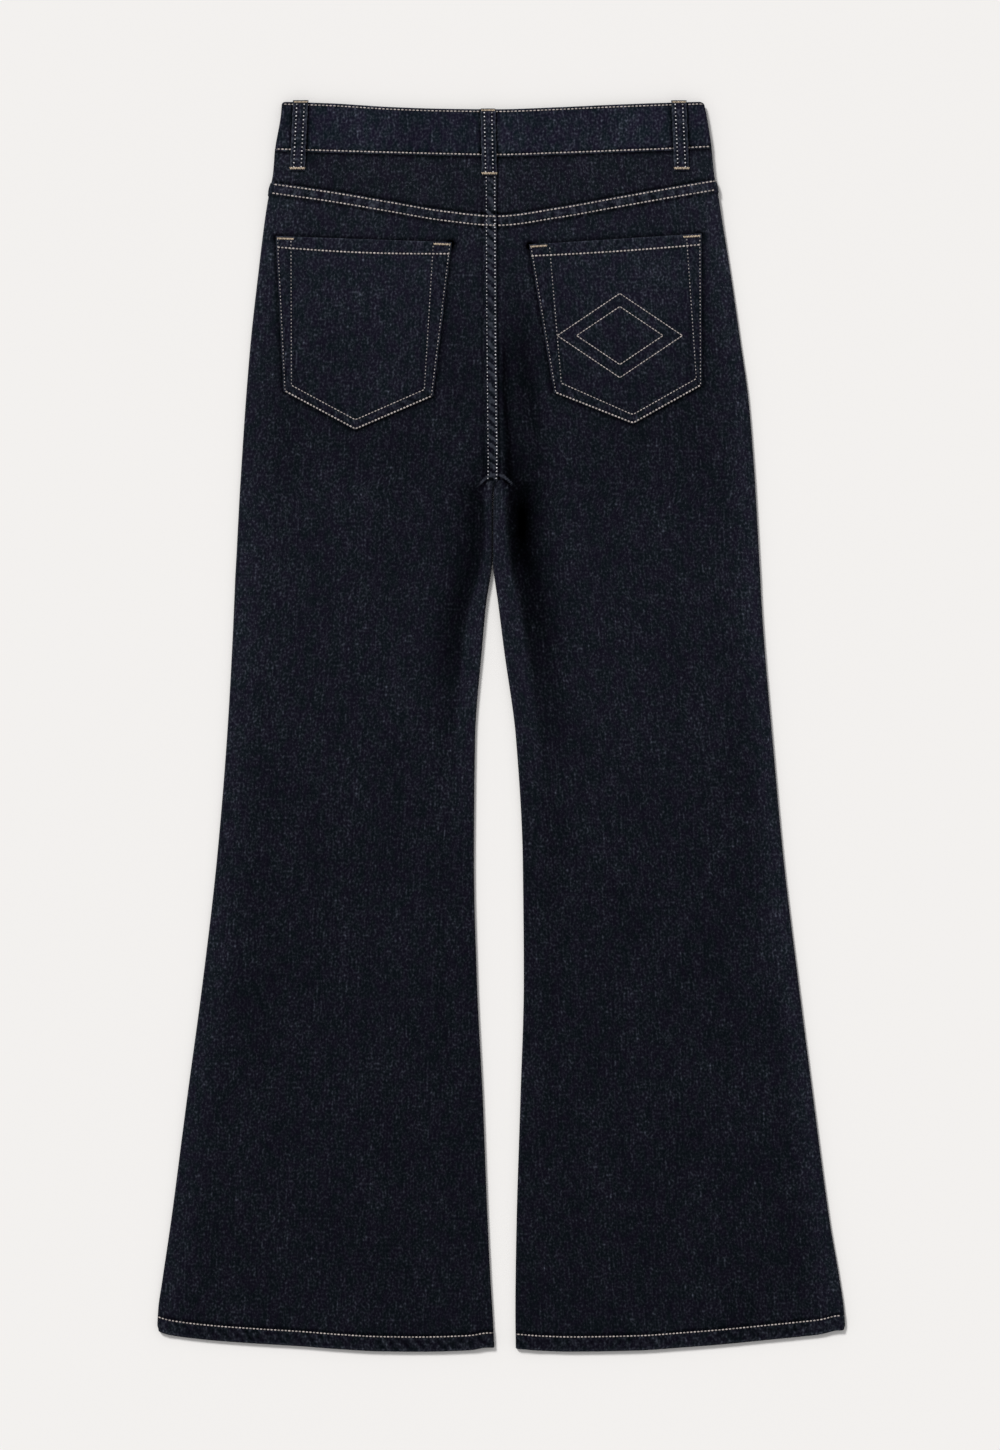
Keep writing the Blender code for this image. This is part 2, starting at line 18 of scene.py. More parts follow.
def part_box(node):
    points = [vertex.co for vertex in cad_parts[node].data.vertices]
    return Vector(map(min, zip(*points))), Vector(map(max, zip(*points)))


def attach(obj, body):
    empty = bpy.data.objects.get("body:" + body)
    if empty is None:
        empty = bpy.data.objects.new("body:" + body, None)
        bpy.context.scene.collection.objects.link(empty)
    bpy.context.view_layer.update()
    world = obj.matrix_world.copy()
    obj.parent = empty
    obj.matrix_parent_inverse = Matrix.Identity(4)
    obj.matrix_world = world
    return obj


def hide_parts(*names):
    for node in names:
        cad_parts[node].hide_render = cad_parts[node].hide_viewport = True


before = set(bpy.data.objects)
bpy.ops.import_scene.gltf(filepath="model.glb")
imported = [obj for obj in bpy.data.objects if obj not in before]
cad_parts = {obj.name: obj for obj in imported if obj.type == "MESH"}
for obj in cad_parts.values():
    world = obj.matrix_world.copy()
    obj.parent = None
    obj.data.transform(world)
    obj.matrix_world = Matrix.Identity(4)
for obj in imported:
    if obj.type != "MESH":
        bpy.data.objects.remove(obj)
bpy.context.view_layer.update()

MM = 0.001

# ---- Driving sizes ----------------------------------------------------------------------------

LENGTH = 1100.0          # waistband top to hem
PLY = 1.05               # one ply of denim
FELL_RISE = 1.35         # how far a felled seam stands over the cloth beside it
FELL_WIDTH = 10.0        # felled yoke seam
YOKE_LINES = (1.5, 9.4)  # its two rows of stitching, from the folded edge
YOKE_TALL = 45.0         # plain height of a yoke, before its rows follow its seam
YOKE_TUCK = 1.3          # how far the yoke's end rises inside the leg's ply, under the garment
CENTRE_WIDTH = 11.0      # felled centre-back seam
CENTRE_LINES = (1.35, 8.8)  # its two rows of stitching, from the folded edge
UNDERLAP = {"left": 0.0, "right": 3.0}  # how far each side's back pieces run on under that seam
HEM_WIDTH = 13.4         # turned hem
HEM_LINE_UP = 12.0       # hem stitching above the folded edge
HEM_PLY = 0.95           # one ply of a hem, and of a front panel
HEM_RISE = 1.0           # how far a hem stands over the cloth above it
HEM_ROWS = 10            # rows of points that run back up inside a hem
HEM_THIN_ROWS = 26       # rows of points with a hem's ply, counted from a leg's last
RAMP = 2.0               # run over which a ply rises or falls
CROTCH = 331.0           # down to the crossing of the seams
DIVE = 24.0              # run over which the inner edge rolls from flat to fully under
UNDER = 3.0              # reach of a back piece under the garment past its inner roll
UNDER_REACH = 5.8        # reach under the garment from the side edge
SIDE_GAP = 0.6           # between a front and a back panel's edges, under the garment
EDGE_ZONE = 13.0         # widths of the closely spaced points along a back piece's two edges
INNER_ZONE = 15.0
PANEL_STEPS = 72         # points across a back piece, between those zones
FAR = 99.0               # a distance at which no edge is felt

BAND = 2.2               # waistband wall
BAND_EDGE = 5.2          # waistband folded at the side, outside to outside
BAND_TALL = 42.0         # waistband, at the sides and at the centre front
BAND_CLOTH = 41.0        # the height that its puckers and its stitching are measured in
BAND_LINES = (2.1, 1.6)  # its rows of stitching, from its top and from its lower edge
BAND_GAP = 0.15          # from the centre front to each of its ends
FRONT_DIP = 20.0         # how far the front of the waist dips below its sides
FRONT_HALF = 188.0       # half of the width over which it dips
CENTRE_FRONT = -4.5      # across, where the waistband's ends meet

FLY_FOLD = 38.0          # crease of the fly's edge, from the centre front
FLY_LINES = (36.0, 42.5)  # its two rows of stitching, from the centre front
FLY_TOP = 66.0           # down to where they begin
FLY_BOTTOM = 218.0       # down to the end of the inner row
FLY_TURN = 30.0          # radius at which the inner row turns

POCKET_RISE = 1.55       # how far a pocket's edges stand over the leg
POCKET_PLY = 1.1
POCKET_HEM_LINE = 9.8    # stitching of a pocket's top edge, below that edge
LOZENGES = ((55.0, 37.0), (38.0, 25.5))  # half width and half height of each
LOZENGE_ASIDE = 4.0      # their middle, from the middle of the pocket's top
LOZENGE_DOWN = 205.95
LOOP_WIDTH = 13.2
LOOP_THICK = 1.5
LOOP_LINES = 3.3         # rows of stitching on a loop, each side of its middle
FRONT_LOOP_X = 92.0      # front loops, each side of the centre front

# A row of stitching: from one stitch to the next, then the size of each stitch.
Stitch = namedtuple("Stitch", "pitch length width thick")
YOKE_STITCH = Stitch(3.3, 2.7, 1.3, 0.75)
CENTRE_STITCHES = (Stitch(3.1, 1.25, 1.55, 0.55), Stitch(3.1, 1.25, 0.9, 0.55))
BAND_TOP_STITCH = Stitch(3.3, 2.7, 1.1, 0.7)
BAND_LOW_STITCH = Stitch(3.3, 2.7, 1.35, 0.7)
BAND_FRONT_STITCH = Stitch(3.4, 3.1, 0.7, 0.3)
HEM_STITCH = Stitch(3.1, 2.5, 1.2, 0.8)
HEM_UNDER_STITCH = Stitch(3.1, 2.9, 0.6, 0.2)
FLY_STITCH = Stitch(3.3, 3.0, 0.6, 0.2)
POCKET_HEM_STITCH = Stitch(3.2, 2.6, 1.45, 0.8)
POCKET_OUTER_STITCH = Stitch(3.0, 2.4, 1.35, 0.7)
POCKET_INNER_STITCH = Stitch(3.0, 2.4, 0.85, 0.7)
POCKET_SIDE_STITCH = Stitch(3.1, 1.5, 0.9, 0.45)
LOZENGE_STITCH = Stitch(3.0, 2.7, 0.85, 0.4)
LOOP_STITCH = Stitch(3.4, 1.3, 1.35, 0.7)
LOOP_UNDER_STITCH = Stitch(3.4, 2.9, 0.6, 0.2)
TACK_PITCH = 0.72        # between the stitches of a bartack
UNDER_SINK = -0.04       # how far stitches under the garment stand from the cloth's face
ABOVE_ALL = 60.0         # over every piece, from where stitches are dropped on the cloth

PIXEL = 0.88             # of the garment, in each pixel of the photo
FRAME_TALL = 1450 * PIXEL * MM  # metres
CAMERA_HEIGHT = 5.0      # metres

# ---- Tables of the garment, as in the model's own source --------------------------------------

Outline = namedtuple("Outline", "down left_out left_in right_in right_out")
OUTLINE = (
    Outline(0, -193.0, -4.6, -4.3, 178.0),
    Outline(13, -194.2, -4.6, -4.3, 180.6),
    Outline(40, -199.0, -4.6, -4.3, 184.6),
    Outline(64, -201.0, -4.6, -4.3, 187.0),
    Outline(80, -204.2, -4.5, -4.2, 190.2),
    Outline(104, -208.1, -4.4, -4.1, 194.0),
    Outline(150, -213.8, -4.2, -3.9, 201.4),
    Outline(209, -220.4, -3.9, -3.6, 209.9),
    Outline(262, -224.8, -3.4, -3.1, 217.3),
    Outline(315, -228.4, -2.9, -2.6, 221.7),
    Outline(331, -229.4, -3.0, -2.7, 222.8),
    Outline(342, -230.1, -7.4, -7.1, 223.5),
    Outline(404, -233.4, -8.1, -7.8, 226.9),
    Outline(418, -234.2, -9.6, -6.3, 227.7),
    Outline(438, -235.0, -13.0, -3.4, 228.6),
    Outline(482, -237.0, -17.2, 2.2, 231.6),
    Outline(561, -241.6, -23.2, 12.8, 238.4),
    Outline(667, -250.4, -24.2, 18.7, 248.2),
    Outline(773, -262.7, -21.6, 19.6, 261.0),
    Outline(878, -276.8, -16.4, 16.6, 274.4),
    Outline(984, -290.6, -12.2, 13.3, 288.6),
    Outline(1037, -298.4, -9.6, 12.4, 297.6),
    Outline(1063, -302.0, -8.0, 12.2, 301.3),
    Outline(1100, -303.6, -6.0, 12.6, 303.6),
)

WaistLine = namedtuple("WaistLine", "across band_top band_bottom yoke_seam")
WAIST_LINES = (
    WaistLine(-206, 0.0, 43.6, 70.8),
    WaistLine(-150, 1.8, 45.2, 78.7),
    WaistLine(-98, 5.0, 46.6, 87.5),
    WaistLine(-50, 6.6, 47.8, 95.5),
    WaistLine(-4, 7.0, 48.6, 99.7),
    WaistLine(50, 5.2, 47.0, 92.8),
    WaistLine(98, 3.0, 45.2, 84.3),
    WaistLine(145, 1.3, 43.4, 75.9),
    WaistLine(192, 0.0, 41.0, 67.9),
)

HemLine = namedtuple("HemLine", "across down")
HEM_LINE = (
    HemLine(-303, 1080.3),
    HemLine(-291, 1083.8),
    HemLine(-256, 1088.2),
    HemLine(-212, 1091.4),
    HemLine(-177, 1093.5),
    HemLine(-142, 1096.2),
    HemLine(-107, 1098.0),
    HemLine(-72, 1098.4),
    HemLine(-28, 1097.1),
    HemLine(-12, 1094.7),
    HemLine(13, 1095.8),
    HemLine(34, 1097.4),
    HemLine(60, 1098.3),
    HemLine(122, 1097.2),
    HemLine(157, 1094.8),
    HemLine(192, 1092.1),
    HemLine(227, 1088.7),
    HemLine(263, 1085.1),
    HemLine(280, 1083.2),
    HemLine(294, 1079.6),
)

# Lift is the underside above the surface. Edge, middle and ridge are heights over the lift at
# the side edge, in mid-panel and at the inner edge. Plateau and fall shape the inner ridge.
# Tone is painted light: the cloth is made lighter towards the waist and darker towards the hem,
# as light falling off from the waist would leave it.
Height = namedtuple("Height", "down lift edge middle ridge plateau fall tone")
HEIGHTS = (
    Height(0, 1.9, 4.4, 4.3, 4.3, 1.0, 9.0, 0.20),
    Height(86, 1.9, 4.4, 4.3, 4.3, 1.0, 9.0, 0.20),
    Height(110, 0.9, 4.4, 4.3, 4.3, 1.0, 9.0, 0.16),
    Height(145, 0.0, 4.4, 4.2, 4.3, 1.0, 9.0, 0.08),
    Height(250, 0.0, 4.4, 4.0, 4.6, 1.0, 9.0, -0.12),
    Height(315, 0.0, 4.4, 3.8, 5.2, 2.0, 7.0, -0.12),
    Height(356, 0.0, 4.5, 3.7, 6.4, 4.0, 4.0, -0.07),
    Height(430, 0.0, 4.6, 3.6, 6.2, 5.0, 4.0, -0.07),
    Height(530, 0.0, 4.6, 3.4, 5.2, 4.0, 5.0, -0.10),
    Height(640, 0.0, 4.5, 3.3, 4.7, 2.5, 6.0, -0.20),
    Height(850, 0.0, 4.5, 3.3, 4.6, 2.0, 7.0, -0.24),
    Height(1060, 0.0, 4.4, 3.4, 4.4, 2.0, 7.0, -0.29),
    Height(1100, 0.0, 4.4, 3.7, 4.4, 2.0, 7.0, -0.29),
)

# Soft folds: the large ones of the model's own source, then the creases that only show close to.
# Tone is painted shade: how much darker the cloth is made along a fold, where its hollow is shaded.
Fold = namedtuple("Fold", "name across down half_width half_length slant height tone")
FOLDS = (
    Fold("left crotch hollow", -38.0, 400.0, 20.0, 90.0, -0.15, -0.6, -0.16),
    Fold("right crotch hollow", 30.0, 380.0, 20.0, 90.0, 0.04, -0.7, -0.26),
    Fold("right crotch pit", 18.0, 372.0, 7.0, 24.0, 0.02, -0.4, -0.18),
    Fold("left thigh crown", -118.0, 420.0, 48.0, 150.0, -0.06, 0.9, 0.0),
    Fold("right thigh crown", 112.0, 430.0, 50.0, 160.0, 0.05, 0.9, 0.0),
    Fold("left seat", -110.0, 215.0, 52.0, 80.0, 0.0, 0.5, 0.0),
    Fold("right seat", 112.0, 215.0, 52.0, 80.0, 0.0, 0.5, 0.0),
    Fold("left knee swell", -165.0, 640.0, 30.0, 140.0, -0.12, 0.6, 0.0),
    Fold("right knee swell", 170.0, 700.0, 32.0, 120.0, 0.12, 0.6, 0.0),
    Fold("right knee drag", 78.0, 668.0, 9.0, 60.0, 0.75, -0.5, -0.10),
    Fold("left shin swell", -110.0, 900.0, 34.0, 150.0, -0.05, 0.6, 0.0),
    Fold("right shin swell", 118.0, 930.0, 36.0, 140.0, 0.08, 0.6, 0.0),
    Fold("left seat crease", -36.0, 262.0, 7.0, 46.0, -0.35, -0.45, -0.10),
    Fold("right seat crease", 26.0, 250.0, 8.0, 60.0, 0.12, -0.6, -0.30),
    Fold("left under-pocket drag", -92.0, 322.0, 5.0, 34.0, -0.9, -0.35, -0.05),
    Fold("right under-pocket drag", 66.0, 330.0, 5.5, 40.0, 0.8, -0.35, -0.05),
    Fold("left thigh line", -150.0, 455.0, 4.5, 95.0, 0.12, -0.3, -0.04),
    Fold("right thigh line", 160.0, 520.0, 4.5, 80.0, -0.15, -0.3, -0.04),
    Fold("left knee drag", -74.0, 560.0, 6.0, 45.0, -1.1, -0.3, -0.06),
    Fold("left shin line", -205.0, 820.0, 6.0, 90.0, -0.18, -0.35, -0.04),
    Fold("right shin line", 205.0, 860.0, 6.0, 90.0, 0.2, -0.35, -0.04),
    Fold("right shin drag", 150.0, 760.0, 7.0, 44.0, 1.2, -0.3, -0.06),
    Fold("left inner shin", -52.0, 780.0, 8.0, 120.0, 0.06, -0.4, -0.08),
    Fold("right inner shin", 46.0, 800.0, 8.0, 110.0, -0.03, -0.4, -0.08),
)

Pocket = namedtuple(
    "Pocket", "side outer_x outer_down inner_x inner_down outer_low_x outer_low_down "
              "inner_low_x inner_low_down tip_x tip_down")
POCKETS = (
    Pocket("left", -198.4, 118.4, -43.6, 123.8, -191.7, 254.8, -60.0, 259.3, -128.4, 289.1),
    Pocket("right", 175.9, 116.2, 24.2, 125.8, 176.5, 249.7, 46.2, 256.1, 115.6, 283.9),
)
POCKET_ON = {shape.side: shape for shape in POCKETS}

# The inner row of stitching round each pocket: where it leaves the top edge and where it turns.
PocketLine = namedtuple(
    "PocketLine", "side outer_top_x outer_low_x outer_low_down inner_top_x inner_low_x "
                  "inner_low_down tip_x tip_down")
POCKET_INNER_LINES = (
    PocketLine("left", -184.0, -184.0, 249.6, -60.0, -67.8, 253.4, -128.4, 280.0),
    PocketLine("right", 161.8, 170.7, 243.8, 42.3, 52.6, 247.7, 115.3, 275.5),
)

Loop = namedtuple("Loop", "name top_x foot_x")
BACK_LOOPS = (
    Loop("belt_loop_back_left", -176.4, -179.3),
    Loop("belt_loop_centre", -11.8, -10.6),
    Loop("belt_loop_back_right", 155.8, 158.4),
)


# What the visible form of each piece is cut to, flat, in millimetres and square millimetres.
Cut = namedtuple("Cut", "piece width length area rests_on")


# ---- Reading the tables -----------------------------------------------------------------------

def curve(rows, key, column):
    """A function that reads a table's column anywhere, on a curve that never overshoots."""
    xs = np.array([getattr(row, key) for row in rows], float)
    ys = np.array([getattr(row, column) for row in rows], float)
    slopes = np.diff(ys) / np.diff(xs)
    tangents = np.concatenate(([slopes[0]], np.zeros(len(xs) - 2), [slopes[-1]]))
    before, after = slopes[:-1], slopes[1:]
    agree = before * after > 0.0
    tangents[1:-1][agree] = 2.0 * (before * after)[agree] / (before + after)[agree]

    def at(value):
        value = np.clip(np.asarray(value, float), xs[0], xs[-1])
        i = np.clip(np.searchsorted(xs, value, side="right") - 1, 0, len(xs) - 2)
        run = xs[i + 1] - xs[i]
        t = (value - xs[i]) / run
        return (ys[i] * (1 + 2 * t) * (1 - t) ** 2 + ys[i + 1] * t * t * (3 - 2 * t)
                + run * (tangents[i] * t * (1 - t) ** 2 - tangents[i + 1] * t * t * (1 - t)))
    return at


OUT = {side: curve(OUTLINE, "down", side + "_out") for side in ("left", "right")}
IN = {side: curve(OUTLINE, "down", side + "_in") for side in ("left", "right")}
HIGH = {name: curve(HEIGHTS, "down", name) for name in Height._fields[1:]}
band_top = curve(WAIST_LINES, "across", "band_top")
band_bottom = curve(WAIST_LINES, "across", "band_bottom")
yoke_seam = curve(WAIST_LINES, "across", "yoke_seam")
hem_line = curve(HEM_LINE, "across", "down")


def ease(value):
    value = np.clip(value, 0.0, 1.0)
    return value * value * (3.0 - 2.0 * value)


def bell(value, width):
    return np.exp(-(value / width) ** 2)


def wander(value, seed):
    """A smooth uneven wave from -1 to 1 that never quite repeats."""
    return (np.sin(value + 1.7 * seed) + 0.6 * np.sin(2.31 * value + 2.9 * seed + 1.1)
            + 0.35 * np.sin(4.73 * value + 0.7 * seed + 2.3)) / 1.95


def inward(side):
    return 1.0 if side == "left" else -1.0


def dive(down):
    """0 where the inner edge lies flat on the centre seam, 1 where it is rolled right under."""
    return np.clip((down - CROTCH) / DIVE, 0.0, 1.0)


def front_dip(across):
    share = (across - CENTRE_FRONT) / FRONT_HALF
    return FRONT_DIP * np.maximum(0.0, 1.0 - share * share)


def front_band_bottom(across):
    side_line = np.where(across < CENTRE_FRONT, WAIST_LINES[0].band_bottom,
                         WAIST_LINES[-1].band_bottom)
    share = np.clip(np.abs(across - CENTRE_FRONT) / FRONT_HALF, 0.0, 1.0)
    return BAND_TALL + (side_line - BAND_TALL) * share + front_dip(across)


def back_band_down(across, share):
    """Down to a place on the back of the waistband, by its share of the height."""
    return band_top(across) + (band_bottom(across) - band_top(across)) * share


def front_band_down(across, share):
    """The same on the front of the waistband, which lies underneath."""
    return front_dip(across) + (front_band_bottom(across) - front_dip(across)) * share


def y_of(down):
    """Y of a place, from how far down the garment it is."""
    return 0.5 * LENGTH - down


# ---- How sewn cloth lies ----------------------------------------------------------------------

def roping(along, across, pitch, slant, seed):
    """Uneven diagonal puckers along a seam, from -1 to 1."""
    drift = 1.5 * wander(along / 31.0, seed) + 0.9 * wander(along / 11.7, seed + 3.0)
    phase = 2.0 * np.pi * (along + slant * across) / pitch + drift * 2.0
    strength = 0.62 + 0.38 * wander(along / 23.0, seed + 7.0)
    return (0.72 * np.sin(phase) + 0.28 * np.sin(2.13 * phase + seed)) * strength


def hem_pucker(across, from_hem, seed):
    """Puckers of a turned hem, and how strongly they show at each distance from its fold."""
    reach = np.sin(np.pi * np.clip((from_hem + 1.0) / 15.5, 0.0, 1.0)) ** 0.8
    return roping(across, from_hem, 9.5, 0.75, seed), reach


def rounded(share):
    """How far a folded edge falls away, from 1 at the edge itself to 0 where share reaches 1."""
    return 1.0 - np.sqrt(1.0 - (1.0 - share) ** 2)


def fell(away, along, width, lines, seed, pitch, slant, rub_and_highlight, depth=0.30, spill=3.5):
    """A felled seam's height over the cloth, and its wear and painted shading, by the distance from
    its fold.

    Wear is over 0 where rubbing has paled the cloth, and where pucker crests get a painted
    highlight;
    under 0 where the seam has kept the dye dark, and where painted shade fills pucker valleys,
    stitched grooves and the cloth just past the seam.
    Spill is how far past the seam's width its puckers run on into the cloth.
    """
    inside = np.where(away >= -0.01, 1.0, 0.0)
    shape = FELL_RISE * (1.0 - ease((away - width - 0.4) / RAMP))
    shape = shape - 0.5 * rounded(np.clip(away / 1.3, 0.0, 1.0))
    for line in lines:
        shape = shape - 0.30 * bell(away - line, 0.75)
    belly = np.clip((away - lines[0]) / (lines[-1] - lines[0]), 0.0, 1.0)
    shape = shape + 0.24 * np.sin(np.pi * belly)
    reach = np.sin(np.pi * np.clip((away + 0.5) / (width + spill), 0.0, 1.0)) ** 0.7
    pucker = roping(along, away, pitch, slant, seed)
    shape = shape + depth * pucker * reach
    # Pucker crests paled, partly as wear and partly as painted highlight; their valleys get painted
    # shade.
    wear_and_shading = 0.55 * bell(away - 0.4, 0.7) + np.where(pucker > 0.0, rub_and_highlight, 0.75) * pucker * reach
    # Painted shade in the stitched grooves and just past the seam's width.
    for line in lines:
        wear_and_shading = wear_and_shading - 0.35 * bell(away - line, 1.0)
    wear_and_shading = wear_and_shading - 0.45 * bell(away - width - 1.6, 1.5)
    return shape * inside, wear_and_shading * inside + kept_dye_and_shade(away) * (1.0 - inside)


def kept_dye_and_shade(away, depth=0.9, reach=2.6):
    """Darkening of the cloth just outside a raised edge, by its distance from it: dye kept from
    fading, and painted shade.
    """
    return -depth * bell(away, reach)


def inner_strip(side, down):
    """Width of the raised strip along the inner edge, below the crossing of the seams."""
    if side == "left":
        return (5.4 + 2.6 * (1.0 - ease((down - 336.0) / 24.0))
                + 10.0 * ease((down - 372.0) / 100.0))
    return 10.9 + 9.0 * ease((down - 345.0) / 130.0)


def hollow(side, down, from_inner):
    """Depth, 0 to 1, of the hollow beside that strip: sharp towards it, soft away from it."""
    if side == "left":
        depth = 0.47 * ease((down - 285.0) / 55.0) * (1.0 - ease((down - 430.0) / 190.0))
        reach = 14.0
    else:
        depth = (0.26 * ease((down - 130.0) / 110.0) + 0.33 * ease((down - 290.0) / 50.0)) \
            * (1.0 - 0.2 * ease((down - 395.0) / 50.0)) * (1.0 - ease((down - 430.0) / 200.0))
        reach = 18.0
    past = from_inner - inner_strip(side, down) * ease((down - 329.0) / 12.0)
    depth = depth * (1.0 + 0.12 * wander(down / 17.0, reach))
    return depth * ease(past / 8.0 + 0.42) * bell(np.maximum(0.0, past - 0.7 * reach), reach)


def panel_fold(side, across, down, to_edge, to_inner, from_inner):
    """Height over the lift, and tone with painted light and shade, of a back panel, away from its
    seams.
    """
    middle = HIGH["middle"](down)
    edge = (HIGH["edge"](down) - middle) * bell(np.maximum(0.0, to_edge - 3.0), 5.5)
    fall = HIGH["fall"](down)
    strip = inner_strip(side, down)
    past = np.maximum(0.0, to_inner - np.maximum(HIGH["plateau"](down), strip - 4.7))
    ridge = (HIGH["ridge"](down) - middle) * bell(past, fall)
    sunk = hollow(side, down, from_inner)
    rise = -0.9 * sunk
    # Painted shade in the hollow beside the inner strip, over the painted light falloff.
    tone = HIGH["tone"](down) - sunk
    # Each fold's tone is painted shade along it.
    for fold in FOLDS:
        along = (down - fold.down) / fold.half_length
        centre = fold.across + fold.slant * (down - fold.down)
        centre = centre + 0.25 * fold.half_width * wander(down / 37.0, fold.down * 0.01)
        offset = (across - centre) / fold.half_width
        shape = np.exp(-along * along - offset * offset)
        rise = rise + fold.height * shape
        tone = tone + fold.tone * shape
    calm = ease(np.minimum(to_edge, to_inner) / 7.0)
    ripple = 0.22 * wander(across / 19.0 + 0.4 * wander(down / 53.0, 1.0), 2.0)
    ripple = ripple * wander(down / 61.0 + across / 140.0, 5.0)
    # Painted highlight along the rolled side edge, and along the folded inner strip.
    tone = tone + 0.34 * bell(to_edge - 2.0, 15.0)
    tone = tone + 0.24 * (1.0 - ease((from_inner - strip) / 2.0)) * strip_glow(down)
    tone = tone + 0.10 * wander(across / 33.0 + 0.6 * wander(down / 71.0, 4.0), 8.0) \
        * wander(down / 90.0 + across / 200.0, 6.0)
    return middle + edge + ridge + (rise + ripple) * calm, tone


def strip_glow(down):
    """Where the folded inner edges catch the light, below the crossing of the seams."""
    return ease((down - 336.0) / 12.0) * (1.0 - ease((down - 470.0) / 260.0))


def crossing(across, down):
    """The small arched pucker where the four seams cross: its height, and a painted highlight along
    it with painted shade below.
    """
    share = (across + 4.9) / 13.5
    below = down - (328.2 + 7.5 * share * share)
    inside = 1.0 - ease((np.abs(share) - 0.9) / 0.25)
    height = 0.5 * bell(below, 0.9) * inside
    arch_highlight = 2.2 + 2.6 * ease((np.abs(share) - 0.25) / 0.3)
    return height, (arch_highlight * bell(below, 0.9) - 0.9 * bell(below - 2.6, 1.3)) * inside


def pocket_corners(shape):
    """A pocket's corners as (across, down): outer, outer low, tip, inner low and inner."""
    return ((shape.outer_x, shape.outer_down), (shape.outer_low_x, shape.outer_low_down),
            (shape.tip_x, shape.tip_down), (shape.inner_low_x, shape.inner_low_down),
            (shape.inner_x, shape.inner_down))


def pocket_edges(side, across, down):
    """Distance of places on the seat from the outline of the pocket on it."""
    corners = pocket_corners(POCKET_ON[side])
    nearest = np.full(np.shape(across), FAR)
    for first, second in zip(corners, corners[1:] + corners[:1]):
        run_x, run_down = second[0] - first[0], second[1] - first[1]
        share = ((across - first[0]) * run_x + (down - first[1]) * run_down) \
            / (run_x ** 2 + run_down ** 2)
        share = np.clip(share, 0.0, 1.0)
        nearest = np.minimum(nearest, np.hypot(across - first[0] - share * run_x,
                                               down - first[1] - share * run_down))
    return nearest


def hem_over(across, from_hem, seed):
    """Height and wear that the turned hem adds to a back leg, with painted highlight and shade on
    its puckers and a painted shade line above its stitching.
    """
    pucker, reach = hem_pucker(across, from_hem, seed)
    height = HEM_RISE * ease((HEM_WIDTH + RAMP - from_hem) / RAMP)
    height = height - 0.35 * bell(from_hem - HEM_LINE_UP, 0.9) + 0.30 * pucker * reach
    # Pucker crests paled as wear and painted highlight, valleys darkened as painted shade; the
    # folded edge paled by wear.
    wear_and_shading = 0.95 * pucker * reach + 0.5 * bell(from_hem, 1.2)
    # Painted shade: the dark line just above the hem's stitching.
    return height, wear_and_shading - 0.75 * bell(from_hem - HEM_LINE_UP - 2.0, 1.5)


def centre_over(side, across, down):
    """Height and wear of the centre-back seam, with painted shading; its felled band is all on the
    left piece.

    The right piece only has what the band leaves beside it: a dark line of kept dye and painted
    shade, a paler line of painted highlight, and a broad painted shadow that moves outwards towards
    the crotch.
    """
    flat = 1.0 - ease(2.0 * dive(down))
    if side == "left":
        height, wear_and_shading = fell(IN["left"](down) - across, down, CENTRE_WIDTH, CENTRE_LINES, 9.0,
                            pitch=9.0, slant=0.85, rub_and_highlight=7.0, depth=0.36, spill=-0.6)
        return height * flat, wear_and_shading * flat
    past = across - IN["left"](down)
    shadow_at = 6.0 + 3.5 * ease((down - 250.0) / 60.0)
    # Painted highlight and painted shadow on the right piece, beside the band.
    seam_highlight = 0.35 * bell(past - 2.8, 1.3) * ease((down - 170.0) / 40.0)
    shadow = 0.75 * bell(past - shadow_at, 3.8) * ease((down - 195.0) / 40.0)
    return np.zeros_like(past), (kept_dye_and_shade(past, 0.9, 2.2) + seam_highlight - shadow) * flat


def seams_over(side, across, down, on_yoke=False):
    """Height and wear that the felled seams and the hem add to a back leg or yoke, painted
    highlight and shade included.
    """
    from_yoke = down - yoke_seam(across)
    seed = 1.0 if side == "left" else 4.0
    yoke, yoke_wear_and_shading = fell(from_yoke, across * inward(side), FELL_WIDTH, YOKE_LINES, seed,
                           pitch=10.5, slant=0.3, rub_and_highlight=2.1)
    if on_yoke:
        # On the yoke: painted shade just beside the leg's folded edge.
        yoke, yoke_wear_and_shading = np.zeros_like(from_yoke), kept_dye_and_shade(from_yoke)
    from_hem = hem_line(across) - down
    hem, hem_wear_and_shading = hem_over(across, from_hem, seed + 2.0)
    centre, centre_wear_and_shading = centre_over(side, across, down)
    rise = np.maximum(np.maximum(yoke, centre), 0.0) + 0.25 * np.minimum(yoke, centre)
    rise = np.where(from_hem < HEM_WIDTH + 6.0, hem, rise)
    # Painted shade round the pocket's edges.
    wear_and_shading = yoke_wear_and_shading + centre_wear_and_shading + kept_dye_and_shade(pocket_edges(side, across, down), 0.75, 3.0)
    pocket = POCKET_ON[side]
    # Painted shadow beside the pocket's upper corners, which stand off the leg.
    for corner_x, corner_down, depth in ((pocket.inner_x, pocket.inner_down, 0.9),
                                         (pocket.outer_x, pocket.outer_down, 0.4)):
        wear_and_shading = wear_and_shading - depth * bell(np.hypot(across - corner_x, down - corner_down - 1.0), 4.5)
    arch, arch_shading = crossing(across, down)
    rise = rise + arch
    wear_and_shading = wear_and_shading + arch_shading
    wear_and_shading = np.where(from_hem < HEM_WIDTH + 6.0, hem_wear_and_shading, wear_and_shading)
    return rise, wear_and_shading


def touching_shade(down):
    """How dark the inner roll is: darker where the two legs touch, below the crossing."""
    return 0.25 + 0.3 * (1.0 - ease((down - 400.0) / 40.0))


